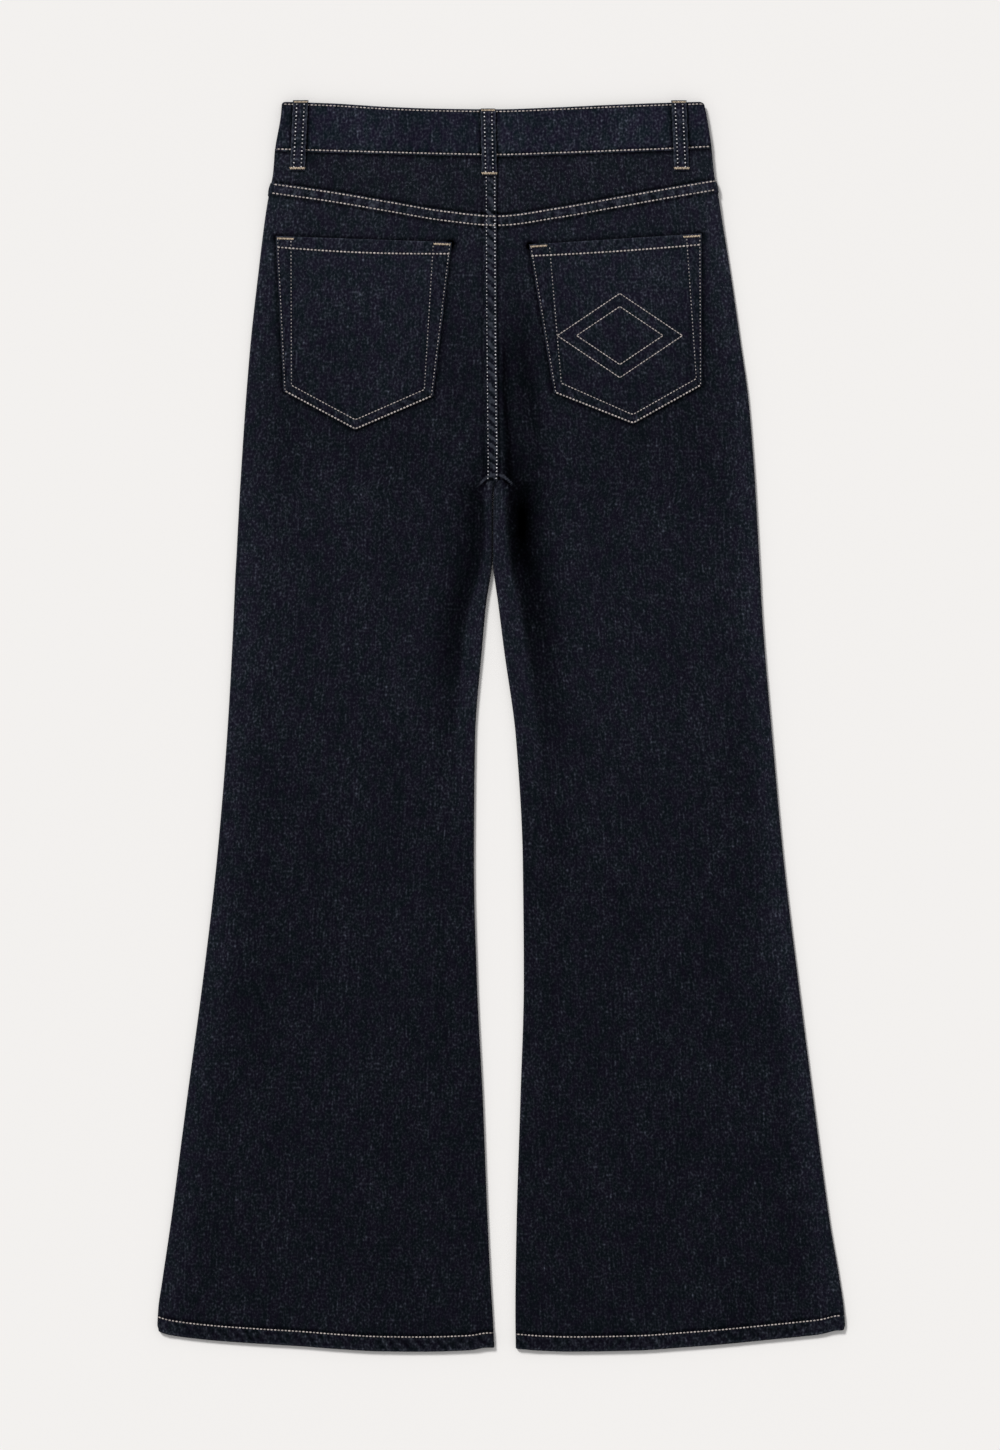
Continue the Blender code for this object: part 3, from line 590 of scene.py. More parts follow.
def inner_roll(down, steps):
    """The inner end of a back section: how far each point lies forward, and how far it drops."""
    ridge = HIGH["ridge"](down)[:, None]
    radius = 0.5 * ridge
    turn = dive(down)[:, None]
    arc = np.pi * radius
    flat = arc * (1.0 - turn)
    run = arc * (np.arange(1, steps + 1) / steps)[None, :]
    angle = np.clip((run - flat) / radius, 0.0, np.pi)
    forward = np.minimum(run, flat) + radius * np.sin(angle)
    drop = radius * (1.0 - np.cos(angle))
    strip = 0.8 + (UNDER - 0.8) * ease(2.0 * turn - 1.0)
    for share in (0.5, 1.0):
        end = np.pi * turn
        forward = np.concatenate((forward, forward[:, steps - 1:steps]
                                  + share * strip * np.cos(end)), axis=1)
        drop = np.concatenate((drop, drop[:, steps - 1:steps]
                               + share * strip * np.sin(end)), axis=1)
    drop = np.minimum(drop, ridge)
    reach = np.where(turn > 0.5, flat + radius, np.max(forward, axis=1, keepdims=True))
    return forward, drop, reach


def leg_lines(base, near_yoke, near_hem):
    """Rows down a leg: each is its base, shifted with the yoke seam and the hem by its shares."""
    base, near_yoke, near_hem = (np.asarray(part, float)[:, None]
                                 for part in (base, near_yoke, near_hem))

    def down_at(across):
        return base + near_yoke * yoke_seam(across) + near_hem * (hem_line(across) - LENGTH)
    return down_at, base + 80.0 * near_yoke


def yoke_lines(shares):
    """Rows down a yoke, from under the waistband to under the leg's folded edge."""
    shares = np.asarray(shares, float)[:, None]

    def down_at(across):
        top = band_bottom(across) - 2.0
        return top + (yoke_seam(across) + 7.0 - top) * shares
    return down_at, BAND_TALL + YOKE_TALL * shares


def side_roll(side, lines, on_yoke):
    """A back piece's side edge: where its flat part starts, and the points rolled under it."""
    toward = inward(side)
    down_at, base = lines
    down = down_at(OUT[side](base) + toward * 0.5 * BAND_EDGE)
    edge_x = OUT[side](down)
    rise, wear_and_shading = seams_over(side, edge_x + toward * 6.0, down, on_yoke)
    rise = np.clip(rise, 0.0, None)
    edge_x = edge_x - toward * np.where(down < 0.5 * LENGTH, 0.7 * rise, 0.0)
    corner = ease(1.0 + (down - hem_line(edge_x)) / 4.0)
    edge_x = edge_x + toward * 1.2 * corner
    tuck = np.zeros_like(down)
    if on_yoke:
        tuck = YOKE_TUCK * ease((down - yoke_seam(edge_x) + 3.0) / 2.5)
    radius = 0.5 * (HIGH["edge"](down) + rise - tuck)
    lift = HIGH["lift"](down) + tuck
    tone = HIGH["tone"](down)
    start = edge_x + toward * radius
    strip = np.linspace(0.0, 1.0, 3)[None, :-1]
    strip_end = OUT[side](down) + toward * UNDER_REACH
    under = strip_end + (start - strip_end) * strip
    flat = [under, down_at(under), lift + 0.0 * strip, wear_and_shading * 0.3 + 0.0 * strip,
            tone + 0.0 * strip]
    angle = np.linspace(-0.5 * np.pi, 0.5 * np.pi, 12)[None, :]
    # Painted highlight on the side of the roll facing the light, and a lighter painted tone over
    # the roll.
    roll_highlight = 0.25 * bell(angle - 0.9, 0.7)
    rolled_x = edge_x + toward * radius * (1.0 - np.cos(angle))
    rolled = [rolled_x, down_at(rolled_x), lift + radius * (1.0 + np.sin(angle)),
              wear_and_shading * 0.6 + roll_highlight, tone + 0.14 + 0.0 * angle]
    return start, [flat, rolled]


def back_rows(side, lines, underlap=0.0, on_yoke=False):
    """Points of a back leg or yoke in whole rows: across, down, height, wear and tone, the last two
    with painted light and shade.
    """
    toward = inward(side)
    down_at, base = lines
    start, parts = side_roll(side, lines, on_yoke)
    inner_down = down_at(IN[side](base))
    forward, drop, reach = inner_roll(inner_down[:, 0], 14)
    end = IN[side](inner_down) - toward * (reach - underlap * (1.0 - ease(2.0 * dive(inner_down))))
    near = np.arange(1, 9) / 8.0
    edge_zone = start + toward * EDGE_ZONE * near[None, :]
    inner_zone = end - toward * INNER_ZONE * (1.0 - np.arange(0, 15) / 14.0)[None, :]
    middle = (start + toward * EDGE_ZONE) + (end - start - toward * (EDGE_ZONE + INNER_ZONE)) \
        * (np.arange(1, PANEL_STEPS) / PANEL_STEPS)[None, :]
    across = np.concatenate((edge_zone, middle, inner_zone), axis=1)
    at = down_at(across)
    to_edge = np.abs(across - start)
    to_inner = np.abs(across - end)
    rise, wear_and_shading = seams_over(side, across, at, on_yoke)
    from_inner = toward * (IN[side](at) - across)
    height, tone = panel_fold(side, across, at, to_edge, to_inner, from_inner)
    parts.append([across, at, HIGH["lift"](at) + height + rise, wear_and_shading, tone])

    across = end + toward * forward
    at = down_at(across)
    rise, wear_and_shading = seams_over(side, across, at, on_yoke)
    height, tone = panel_fold(side, across, at, np.full_like(across, FAR),
                              np.zeros_like(across), toward * (IN[side](at) - across))
    ridge = HIGH["ridge"](at)
    rolled = np.clip(drop / ridge, 0.0, 1.0)
    top = ridge + rise * (1.0 - rolled)
    # The inner roll is paler, partly as wear of its fold and partly as painted highlight, with
    # painted shade where the legs touch.
    parts.append([across, at, HIGH["lift"](at) + top - drop, wear_and_shading * (1.0 - rolled) + 0.12,
                  tone - touching_shade(at) * ease(rolled * 1.5)])
    return [np.concatenate([part[k] for part in parts], axis=1) for k in range(5)]


# ---- Making the meshes ------------------------------------------------------------------------

def deselect():
    bpy.ops.object.select_all(action="DESELECT")


def mark(piece, name, values):
    """Keeps a number for each point of a piece, such as wear or tone, for its material; both carry
    painted light and shade as well as the cloth's own wear and tone.
    """
    layer = piece.data.attributes.new(name, "FLOAT", "POINT")
    layer.data.foreach_set("value", np.asarray(values, np.float32).reshape(-1))


def lay_cloth(name, across, down, height, wear_and_shading, tone):
    """Cloth made from a grid primitive, whose points are laid at the given places, row by row."""
    rows, columns = across.shape
    deselect()
    bpy.ops.mesh.primitive_grid_add(x_subdivisions=columns - 1, y_subdivisions=rows - 1, size=1.0)
    piece = bpy.context.active_object
    piece.name = name
    piece.data.name = name
    places = np.stack((across, y_of(down), height), axis=-1) * MM
    piece.data.vertices.foreach_set("co", places.reshape(-1).astype(np.float32))
    grain_x = np.cumsum(np.concatenate((np.zeros((rows, 1)), np.hypot(
        np.diff(across, axis=1), np.diff(height, axis=1))), axis=1), axis=1)
    grain_x = grain_x - grain_x[:, columns // 2:columns // 2 + 1]
    # Each piece is cut from its own part of the cloth, so no two show the same yarns.
    apart = CUT_APART * len(bpy.data.meshes)
    cloth = np.stack((grain_x + apart, LENGTH - down + 0.37 * apart), axis=-1).reshape(-1, 2) * MM
    loops = np.empty(len(piece.data.loops), dtype=np.int32)
    piece.data.loops.foreach_get("vertex_index", loops)
    piece.data.uv_layers[0].name = "grain"
    piece.data.uv_layers[0].data.foreach_set("uv", cloth[loops].reshape(-1).astype(np.float32))
    mark(piece, "wear_and_shading", wear_and_shading)
    mark(piece, "tone", tone)
    return piece


def thicken(piece, plies, outward_up):
    """Turns a laid grid's faces outwards and gives it its wall, thinner where plies say so."""
    piece.data.update()
    rows, columns = plies.shape
    middle = piece.data.polygons[rows // 2 * (columns - 1) + columns // 2]
    if (middle.normal.z > 0.0) != outward_up:
        piece.data.flip_normals()
    thickest = float(np.max(plies))
    group = piece.vertex_groups.new(name="plies")
    weights = np.round(np.asarray(plies).reshape(-1) / thickest, 3)
    for weight in np.unique(weights):
        indices = np.nonzero(weights == weight)[0]
        group.add([int(k) for k in indices], float(weight), "REPLACE")
    deselect()
    piece.select_set(True)
    bpy.context.view_layer.objects.active = piece
    bpy.ops.object.modifier_add(type="SOLIDIFY")
    wall = piece.modifiers[-1]
    wall.thickness = thickest * MM
    wall.offset = -1.0
    wall.thickness_clamp = 1.0
    wall.vertex_group = "plies"
    bpy.ops.object.modifier_apply(modifier=wall.name)
    bpy.ops.object.shade_smooth_by_angle(angle=math.radians(50.0))
    return piece


def turn_hem(fields):
    """Continues a grid round the fold at its last row and back up inside, as a turned hem."""
    across, down, height, wear_and_shading, tone = fields
    points = np.stack((across, -down, height), axis=-1)
    along = np.gradient(points, axis=0)
    over = np.gradient(points, axis=1)
    normal = np.cross(over, along)
    normal /= np.linalg.norm(normal, axis=-1, keepdims=True)
    middle = normal[:, normal.shape[1] // 2, 2]
    normal = normal * np.where(np.median(middle) > 0.0, 1.0, -1.0)
    ahead = points[-1] - points[-2]
    ahead = ahead / np.linalg.norm(ahead, axis=-1, keepdims=True)
    radius = HEM_PLY + 0.03
    extra = []
    for step in range(1, 5):
        angle = math.pi * step / 5
        extra.append(points[-1] - normal[-1] * radius * (1.0 - math.cos(angle))
                     + ahead * radius * math.sin(angle))
    for back in range(HEM_ROWS):
        extra.append(points[-1 - back] - normal[-1 - back] * 2.0 * radius)
    count = len(extra)
    points = np.concatenate((points, np.stack(extra)))
    wear_and_shading = np.concatenate((wear_and_shading, np.repeat(wear_and_shading[-1:] * 0.5, count, axis=0)))
    # Inside the hem the tone is a little darker: painted shade.
    tone = np.concatenate((tone, np.repeat(tone[-1:] - 0.1, count, axis=0)))
    return points[..., 0], -points[..., 1], points[..., 2], wear_and_shading, tone


def flip_hem(fields):
    """The same turned hem on a panel whose outside faces down."""
    across, down, height, wear_and_shading, tone = fields
    turned = turn_hem((across, down, -height, wear_and_shading, tone))
    return turned[0], turned[1], -turned[2], turned[3], turned[4]


# ---- Materials --------------------------------------------------------------------------------

COOL_DYE = (0.0006, 0.0029, 0.0056, 1.0)
WARM_DYE = (0.0027, 0.0020, 0.0080, 1.0)
LIT_YARN = (0.0032, 0.0036, 0.0048)
RUBBED_AND_HIGHLIT_YARN = (0.062, 0.070, 0.092, 1.0)
PALE_WEFT = (0.060, 0.066, 0.086, 1.0)
TWILL_ANGLE = -32.0      # degrees, of the diagonal ribs
CUT_APART = 700.0        # between the places in the cloth that two pieces are cut from


def group_socket(group, name, direction, kind, value=None):
    made = group.interface.new_socket(name=name, in_out=direction, socket_type=kind)
    if value is not None:
        made.default_value = value
    return made


def node(tree, kind, settings=None, **inputs):
    """A node with its settings and inputs; an input is a value or another node's socket."""
    made = tree.nodes.new(kind)
    for key, value in (settings or {}).items():
        setattr(made, key, value)
    for key, value in inputs.items():
        socket = made.inputs[int(key[1:])] if key[0] == "n" and key[1:].isdigit() \
            else made.inputs[key.replace("_", " ")]
        if isinstance(value, bpy.types.NodeSocket):
            tree.links.new(value, socket)
        else:
            socket.default_value = value
    return made


def maths(tree, operation, first, second=None, third=None, clamp=False):
    values = {"n0": first}
    if second is not None:
        values["n1"] = second
    if third is not None:
        values["n2"] = third
    return node(tree, "ShaderNodeMath", {"operation": operation, "use_clamp": clamp},
                **values).outputs[0]


def ramp(tree, value, low, high):
    """0 below low, 1 above high."""
    made = node(tree, "ShaderNodeMapRange", {"interpolation_type": "SMOOTHSTEP"}, Value=value,
                From_Min=low, From_Max=high)
    return made.outputs["Result"]


def blend(tree, factor, first, second):
    """The first colour where the factor is 0, the second where it is 1."""
    return node(tree, "ShaderNodeMix", {"data_type": "RGBA"}, Factor=factor, A=first,
                B=second).outputs["Result"]


def scaled(tree, colour, gain):
    return node(tree, "ShaderNodeVectorMath", {"operation": "SCALE"}, n0=colour,
                Scale=gain).outputs[0]


def read_mark(tree, name):
    """What mark has kept under a name, at each point."""
    return node(tree, "ShaderNodeAttribute", {"attribute_name": name}).outputs["Fac"]


def object_place(tree):
    return node(tree, "ShaderNodeTexCoord").outputs["Object"]


def bumps(tree, shader, height, strength, distance):
    """Fine relief for a shader's light to catch."""
    made = node(tree, "ShaderNodeBump", None, Strength=strength, Distance=distance, Height=height)
    tree.links.new(made.outputs[0], shader.inputs["Normal"])


def denim_weave():
    """Node group: right-hand twill with slubby warp, pale weft flecks and blotchy dye."""
    group = bpy.data.node_groups.new("denim weave", "ShaderNodeTree")
    group_socket(group, "Grain", "INPUT", "NodeSocketVector")
    group_socket(group, "Fleck", "INPUT", "NodeSocketFloat", 1.0)
    for name in ("Shade", "Warmth", "Pale", "Height"):
        group_socket(group, name, "OUTPUT", "NodeSocketFloat")
    ends = group.nodes.new("NodeGroupInput")
    out = group.nodes.new("NodeGroupOutput")
    grain = ends.outputs["Grain"]

    def noise(stretch, scale, detail, roughness=0.5):
        mapped = node(group, "ShaderNodeMapping", None, Vector=grain,
                      Scale=(stretch[0], stretch[1], 1.0))
        made = node(group, "ShaderNodeTexNoise", {"noise_dimensions": "2D"},
                    Vector=mapped.outputs[0], Scale=scale, Detail=detail, Roughness=roughness)
        return made.outputs["Fac"]

    fine = noise((0.90, 0.76), 560.0, 0.5)
    streak = noise((1.0, 0.09), 520.0, 1.0)
    speck = noise((1.0, 0.62), 560.0, 1.0, 0.6)
    blotch = noise((1.0, 0.8), 140.0, 2.0, 0.6)
    cloud = noise((1.0, 0.6), 26.0, 3.0, 0.55)
    tint = noise((1.0, 0.7), 95.0, 3.0)
    slub = noise((1.0, 0.10), 1900.0, 1.0)

    turned = node(group, "ShaderNodeMapping", None, Vector=grain,
                  Rotation=(0.0, 0.0, math.radians(TWILL_ANGLE)))
    twill = node(group, "ShaderNodeTexWave", {"wave_type": "BANDS", "bands_direction": "X",
                                              "wave_profile": "SIN"},
                 Vector=turned.outputs[0], Scale=330.0, Distortion=2.2, Detail=1.0,
                 Detail_Scale=2.0)
    ridge = twill.outputs["Fac"]

    # Shade is e to the sum of the parts, each centred on 0, so light yarns stand far out of dark.
    power = maths(group, "MULTIPLY_ADD", fine, 5.6, -2.8)
    for part, strength in ((streak, 2.5), (blotch, 2.5), (cloud, 1.5), (ridge, 0.2)):
        power = maths(group, "ADD", power,
                      maths(group, "MULTIPLY_ADD", part, strength, -0.5 * strength))
    pale = maths(group, "MULTIPLY", ramp(group, speck, 0.60, 0.78), ramp(group, slub, 0.35, 0.60))
    for name, made in (
            ("Shade", maths(group, "POWER", math.e, power)),
            ("Warmth", maths(group, "MULTIPLY_ADD", tint, 4.0, -1.5, clamp=True)),
            ("Pale", maths(group, "MULTIPLY", pale, ends.outputs["Fleck"])),
            ("Height", maths(group, "MULTIPLY_ADD", ridge, 0.55,
                             maths(group, "MULTIPLY", slub, 0.45)))):
        group.links.new(made, out.inputs[name])
    return group


def new_material(name):
    made = bpy.data.materials.new(name)
    made.use_nodes = True
    return made, made.node_tree, made.node_tree.nodes["Principled BSDF"]


def denim(name, weave, brightness=1.0, fleck=1.0):
    """Dark indigo denim: dyed warp that the wear and tone marks lighten or darken; those marks
    carry painted light and shade too.
    """
    made, tree, shader = new_material(name)
    uv = node(tree, "ShaderNodeUVMap", {"uv_map": "grain"})
    cloth = tree.nodes.new("ShaderNodeGroup")
    cloth.node_tree = weave
    tree.links.new(uv.outputs[0], cloth.inputs["Grain"])
    cloth.inputs["Fleck"].default_value = fleck
    wear_and_shading = read_mark(tree, "wear_and_shading")
    dye = blend(tree, cloth.outputs["Warmth"], COOL_DYE, WARM_DYE)
    yarn = node(tree, "ShaderNodeVectorMath", {"operation": "ADD"}, n0=dye,
                n1=scaled(tree, LIT_YARN, cloth.outputs["Shade"])).outputs[0]
    # Negative wear darkens the cloth: kept dye and painted shade.
    dye_and_shade_gain = maths(tree, "MULTIPLY_ADD", wear_and_shading, 0.85, 1.0, clamp=True)
    strength = maths(tree, "MULTIPLY", dye_and_shade_gain, maths(tree, "ADD", read_mark(tree, "tone"), 1.0))
    lit = scaled(tree, yarn, maths(tree, "MULTIPLY", strength, brightness))
    # Positive wear mixes in paler yarn: rubbed cloth and painted highlight.
    rub_and_highlight = maths(tree, "MULTIPLY", wear_and_shading, maths(tree, "MULTIPLY_ADD", cloth.outputs["Shade"],
                                              0.35, 0.20), clamp=True)
    worn_and_highlit = blend(tree, maths(tree, "MULTIPLY", rub_and_highlight, 0.42), lit, RUBBED_AND_HIGHLIT_YARN)
    flecks = maths(tree, "MULTIPLY", maths(tree, "MULTIPLY", strength, strength), 0.45)
    flecks = maths(tree, "MULTIPLY", cloth.outputs["Pale"], flecks, clamp=True)
    tree.links.new(blend(tree, flecks, worn_and_highlit, PALE_WEFT), shader.inputs["Base Color"])
    bumps(tree, shader, cloth.outputs["Height"], 0.35, 0.00018)
    shader.inputs["Roughness"].default_value = 0.9
    for key, share in (("Specular IOR Level", 0.05), ("Sheen Weight", 0.03)):
        tree.links.new(maths(tree, "MULTIPLY", strength, share, clamp=True), shader.inputs[key])
    shader.inputs["Sheen Roughness"].default_value = 0.6
    return made


def thread(name, colour, spread):
    """Cotton-wrapped thread: each stitch a little lighter or darker than the next."""
    made, tree, shader = new_material(name)
    lot = read_mark(tree, "lot")
    twist = node(tree, "ShaderNodeTexNoise", None, Vector=object_place(tree), Scale=2600.0,
                 Detail=1.0).outputs["Fac"]
    gain = maths(tree, "MULTIPLY_ADD", lot, 2.0 * spread, 1.0 - spread)
    gain = maths(tree, "MULTIPLY", gain, maths(tree, "MULTIPLY_ADD", twist, 0.6, 0.7))
    tree.links.new(scaled(tree, colour, gain), shader.inputs["Base Color"])
    bumps(tree, shader, twist, 0.5, 0.0001)
    shader.inputs["Roughness"].default_value = 0.62
    shader.inputs["Specular IOR Level"].default_value = 0.3
    return made


def button_metal():
    made, tree, shader = new_material("aged button metal")
    patina = node(tree, "ShaderNodeTexNoise", None, Vector=object_place(tree), Scale=420.0,
                  Detail=4.0).outputs["Fac"]
    mixed = blend(tree, patina, (0.20, 0.13, 0.075, 1.0), (0.52, 0.40, 0.27, 1.0))
    tree.links.new(mixed, shader.inputs["Base Color"])
    tree.links.new(maths(tree, "MULTIPLY_ADD", patina, 0.35, 0.22), shader.inputs["Roughness"])
    shader.inputs["Metallic"].default_value = 1.0
    return made


def zip_cloth():
    made, tree, shader = new_material("zip tape and chain")
    ribs = node(tree, "ShaderNodeTexWave", {"bands_direction": "Y"}, Vector=object_place(tree),
                Scale=900.0, Distortion=0.4).outputs["Fac"]
    mixed = blend(tree, ribs, (0.006, 0.007, 0.012, 1.0), (0.018, 0.020, 0.030, 1.0))
    tree.links.new(mixed, shader.inputs["Base Color"])
    bumps(tree, shader, ribs, 0.6, 0.0002)
    shader.inputs["Roughness"].default_value = 0.8
    return made


def studio_floor():
    made, tree, shader = new_material("pale studio floor")
    grain = node(tree, "ShaderNodeTexNoise", None, Vector=object_place(tree), Scale=3.0,
                 Detail=2.0).outputs["Fac"]
    mixed = blend(tree, grain, (0.906, 0.896, 0.891, 1.0), (0.914, 0.904, 0.899, 1.0))
    tree.links.new(mixed, shader.inputs["Base Color"])
    shader.inputs["Roughness"].default_value = 0.95
    shader.inputs["Specular IOR Level"].default_value = 0.0
    return made


# ---- Stitching --------------------------------------------------------------------------------

def one_stitch():
    """A single lock stitch, 1 long and 1 wide: a sphere drawn out, with its ends pulled down."""
    deselect()
    bpy.ops.mesh.primitive_uv_sphere_add(segments=6, ring_count=6, radius=0.5,
                                         rotation=(0.0, math.radians(90.0), 0.0))
    shape = bpy.context.active_object
    bpy.ops.object.transform_apply(location=False, rotation=True, scale=False)
    points = np.array([tuple(vert.co) for vert in shape.data.vertices])
    faces = [tuple(face.vertices) for face in shape.data.polygons]
    bpy.data.objects.remove(shape, do_unlink=True)
    fullness = np.clip(1.0 - (2.0 * points[:, 0]) ** 4, 0.0, 1.0) ** 0.5
    girth = np.hypot(points[:, 1], points[:, 2])
    grow = np.where(girth > 1e-6, 0.5 * fullness / np.maximum(girth, 1e-6), 0.0)
    points[:, 1] *= grow
    points[:, 2] *= grow
    points[:, 2] -= 0.55 * (2.0 * points[:, 0]) ** 2
    return points, faces


STITCH_POINTS, STITCH_FACES = one_stitch()


class Seamstress:
    """Gathers stitches and makes them one mesh."""

    def __init__(self, name, material):
        self.name = name
        self.material = material
        self.points = []
        self.lots = []
        self.count = 0

    def put(self, middle, along, up, length, width, thick):
        """One stitch: its middle, direction and surface normal, in millimetres."""
        across = np.cross(up, along)
        across /= np.linalg.norm(across)
        up = np.cross(along, across)
        shape = STITCH_POINTS
        laid = (middle + shape[:, :1] * length * along + shape[:, 1:2] * width * across
                + shape[:, 2:3] * thick * up)
        self.points.append(laid)
        lot = 0.5 + 0.5 * wander(np.array(self.count * 1.37), 2.0)
        self.lots.append(np.full(len(shape), float(lot)))
        self.count += 1

    def finish(self):
        size = len(STITCH_POINTS)
        faces = [tuple(k + size * n for k in face)
                 for n in range(self.count) for face in STITCH_FACES]
        mesh = bpy.data.meshes.new(self.name)
        mesh.from_pydata((np.concatenate(self.points) * MM).tolist(), [], faces)
        mesh.shade_smooth()
        piece = bpy.data.objects.new(self.name, mesh)
        bpy.context.scene.collection.objects.link(piece)
        mark(piece, "lot", np.concatenate(self.lots))
        mesh.materials.append(self.material)
        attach(piece, "root")
        return piece


def surface_of(piece):
    """What stitches are laid on: a finished piece's surface, in millimetres."""
    shape = bmesh.new()
    shape.from_mesh(piece.data)
    bmesh.ops.scale(shape, vec=(1000.0, 1000.0, 1000.0), verts=shape.verts)
    tree = BVHTree.FromBMesh(shape)
    shape.free()
    return tree


def spaced(points, pitch):
    """Places at even spacing along a line of points."""
    points = np.asarray(points, float)
    steps = np.linalg.norm(np.diff(points, axis=0), axis=1)
    run = np.concatenate(([0.0], np.cumsum(steps)))
    count = max(1, int(run[-1] / pitch))
    marks = (np.arange(count + 1)) * run[-1] / count
    return np.stack([np.interp(marks, run, points[:, k]) for k in range(3)], axis=1)


def sew(seamstress, tree, points, stitch, raise_by=0.06, from_above=False):
    """Lays a row of stitches along a line on a surface."""
    places = spaced(points, stitch.pitch)
    for first, second in zip(places, places[1:]):
        middle = 0.5 * (first + second)
        if from_above:
            hit, normal = drop_on(tree, middle)
        else:
            hit, normal = tree.find_nearest(Vector(middle))[:2]
        if hit is None:
            continue
        up = np.array(normal)
        along = second - first
        along = along - up * np.dot(along, up)
        along /= np.linalg.norm(along)
        seamstress.put(np.array(hit) + up * raise_by, along, up, stitch.length, stitch.width,
                       stitch.thick)


def drop_on(tree, place):
    """Where a line straight down through a place meets a surface, and the normal there."""
    return tree.ray_cast(Vector((place[0], place[1], ABOVE_ALL)), Vector((0.0, 0.0, -1.0)))[:2]


def sew_down(seamstress, tree, places, stitch):
    """A row on the top of the garment, along a line of (across, down) places."""
    points = [(across, y_of(down), 0.0) for across, down in places]
    sew(seamstress, tree, points, stitch, from_above=True)


def bartack(seamstress, tree, centre, length, width, angle=0.0):
    """A dense zigzag that ties down a corner: centre is (across, down)."""
    count = int(length / TACK_PITCH)
    turn = np.array((math.cos(angle), math.sin(angle), 0.0))
    cross = np.array((-turn[1], turn[0], 0.0))
    middle = np.array((centre[0], y_of(centre[1]), 0.0))
    for k in range(count + 1):
        place = middle + turn * (k / count - 0.5) * length
        lean = 0.32 if k % 2 else -0.32
        along = cross + turn * lean
        place = place + cross * 0.12 * wander(np.array(k * 2.1), centre[0])
        hit, normal = drop_on(tree, place)
        if hit is None:
            continue
        up = np.array(normal) * 0.35 + np.array((0.0, 0.0, 0.65))
        up /= np.linalg.norm(up)
        along = along - up * np.dot(along, up)
        along /= np.linalg.norm(along)
        seamstress.put(np.array(hit) + up * 0.25, along, up, width, 0.74, 0.62)


# ---- The cloth pieces -------------------------------------------------------------------------

def leg_bases():
    """Rows of a back leg: base distances below the yoke seam's own line, closer at seams."""
    stretches = ((0.0, 13.5, 1.0), (13.5, 240.0, 1.8), (240.0, 290.0, 1.5), (290.0, 360.0, 3.0),
                 (360.0, 1083.0, 5.5), (1083.0, LENGTH, 1.1))
    bases = []
    for low, high, step in stretches:
        count = max(1, int(round((high - low) / step)))
        bases += [low + (high - low) * k / count for k in range(count)]
    return np.array(bases + [LENGTH])


def hem_share(base):
    """How closely a row follows the hem, from 0 to 1."""
    return ease((base - 850.0) / 230.0)


def leg_follow(base):
    """A leg's rows as their base distances, and the shares with which they follow its ends."""
    near_yoke = 1.0 - ease(base / 215.0)
    plain = base + (1.0 - near_yoke) * 86.0 * np.clip(1.0 - base / 900.0, 0.0, 1.0)
    return plain, near_yoke, hem_share(base)


def back_leg(side, finish):
    fields = back_rows(side, leg_lines(*leg_follow(leg_bases())), underlap=UNDERLAP[side])
    fields = turn_hem(fields)
    piece = lay_cloth(f"back_leg_{side}_cloth", *fields)
    plies = np.full(fields[0].shape, PLY)
    plies[-HEM_THIN_ROWS:] = HEM_PLY
    thicken(piece, plies, True)
    piece.data.materials.append(finish)
    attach(piece, "root")
    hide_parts("back_leg_" + side)
    return piece


def back_yoke(side, finish):
    across, down, height, wear_and_shading, tone = back_rows(
        side, yoke_lines(np.linspace(0.0, 1.0, 38)), underlap=UNDERLAP[side], on_yoke=True)
    # Painted shade just under the waistband's lower edge.
    wear_and_shading = wear_and_shading + kept_dye_and_shade(down - band_bottom(across))
    piece = lay_cloth(f"back_yoke_{side}_cloth", across, down, height, wear_and_shading, tone)
    thicken(piece, np.full(across.shape, PLY), True)
    piece.data.materials.append(finish)
    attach(piece, "root")
    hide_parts("back_yoke_" + side)
    return piece


def front_leg(side, finish):
    """A front panel: flat on the surface, its hem turned up inside."""
    toward = inward(side)
    top = 45.0
    base = np.concatenate((np.linspace(top, 330.0, 30), np.linspace(334.0, 380.0, 16),
                           np.linspace(390.0, 1075.0, 60), np.linspace(1083.0, LENGTH, 15)))
    base = base[:, None]
    near_waist = ease((300.0 - base) / 255.0)
    near_hem = hem_share(base)

    def down_at(across):
        return (base + near_waist * (front_band_bottom(across) - 1.0 - top)
                + near_hem * (hem_line(across) - LENGTH))

    start_down = down_at(OUT[side](base) + toward * UNDER_REACH)
    start = OUT[side](start_down) + toward * (UNDER_REACH + SIDE_GAP)
    inner = IN[side](base)
    clear = 0.5 * HIGH["ridge"](base) + UNDER + SIDE_GAP + 0.5 * ease((base - 990.0) / 55.0)
    end = inner - toward * clear * ease(2.0 * dive(base))
    shares = np.linspace(0.0, 1.0, 60)[None, :]
    across = start + (end - start) * shares
    down = down_at(across)
    pucker, reach = hem_pucker(across, hem_line(across) - down, 11.0)
    pucker = np.clip(pucker, 0.0, 1.0)
    height = HIGH["lift"](down) + 0.10 * pucker * reach
    crease = bell(across - (CENTRE_FRONT - FLY_FOLD), 1.2) * (1.0 - ease((down - 210.0) / 6.0))
    height = height + (0.25 * crease if side == "left" else 0.0)
    fields = flip_hem((across, down, height, 0.4 * pucker * reach, HIGH["tone"](down)))
    piece = lay_cloth(f"front_leg_{side}_cloth", *fields)
    thicken(piece, np.full(fields[0].shape, HEM_PLY), False)
    piece.data.materials.append(finish)
    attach(piece, "root")
    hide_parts("front_leg_" + side)
    return piece


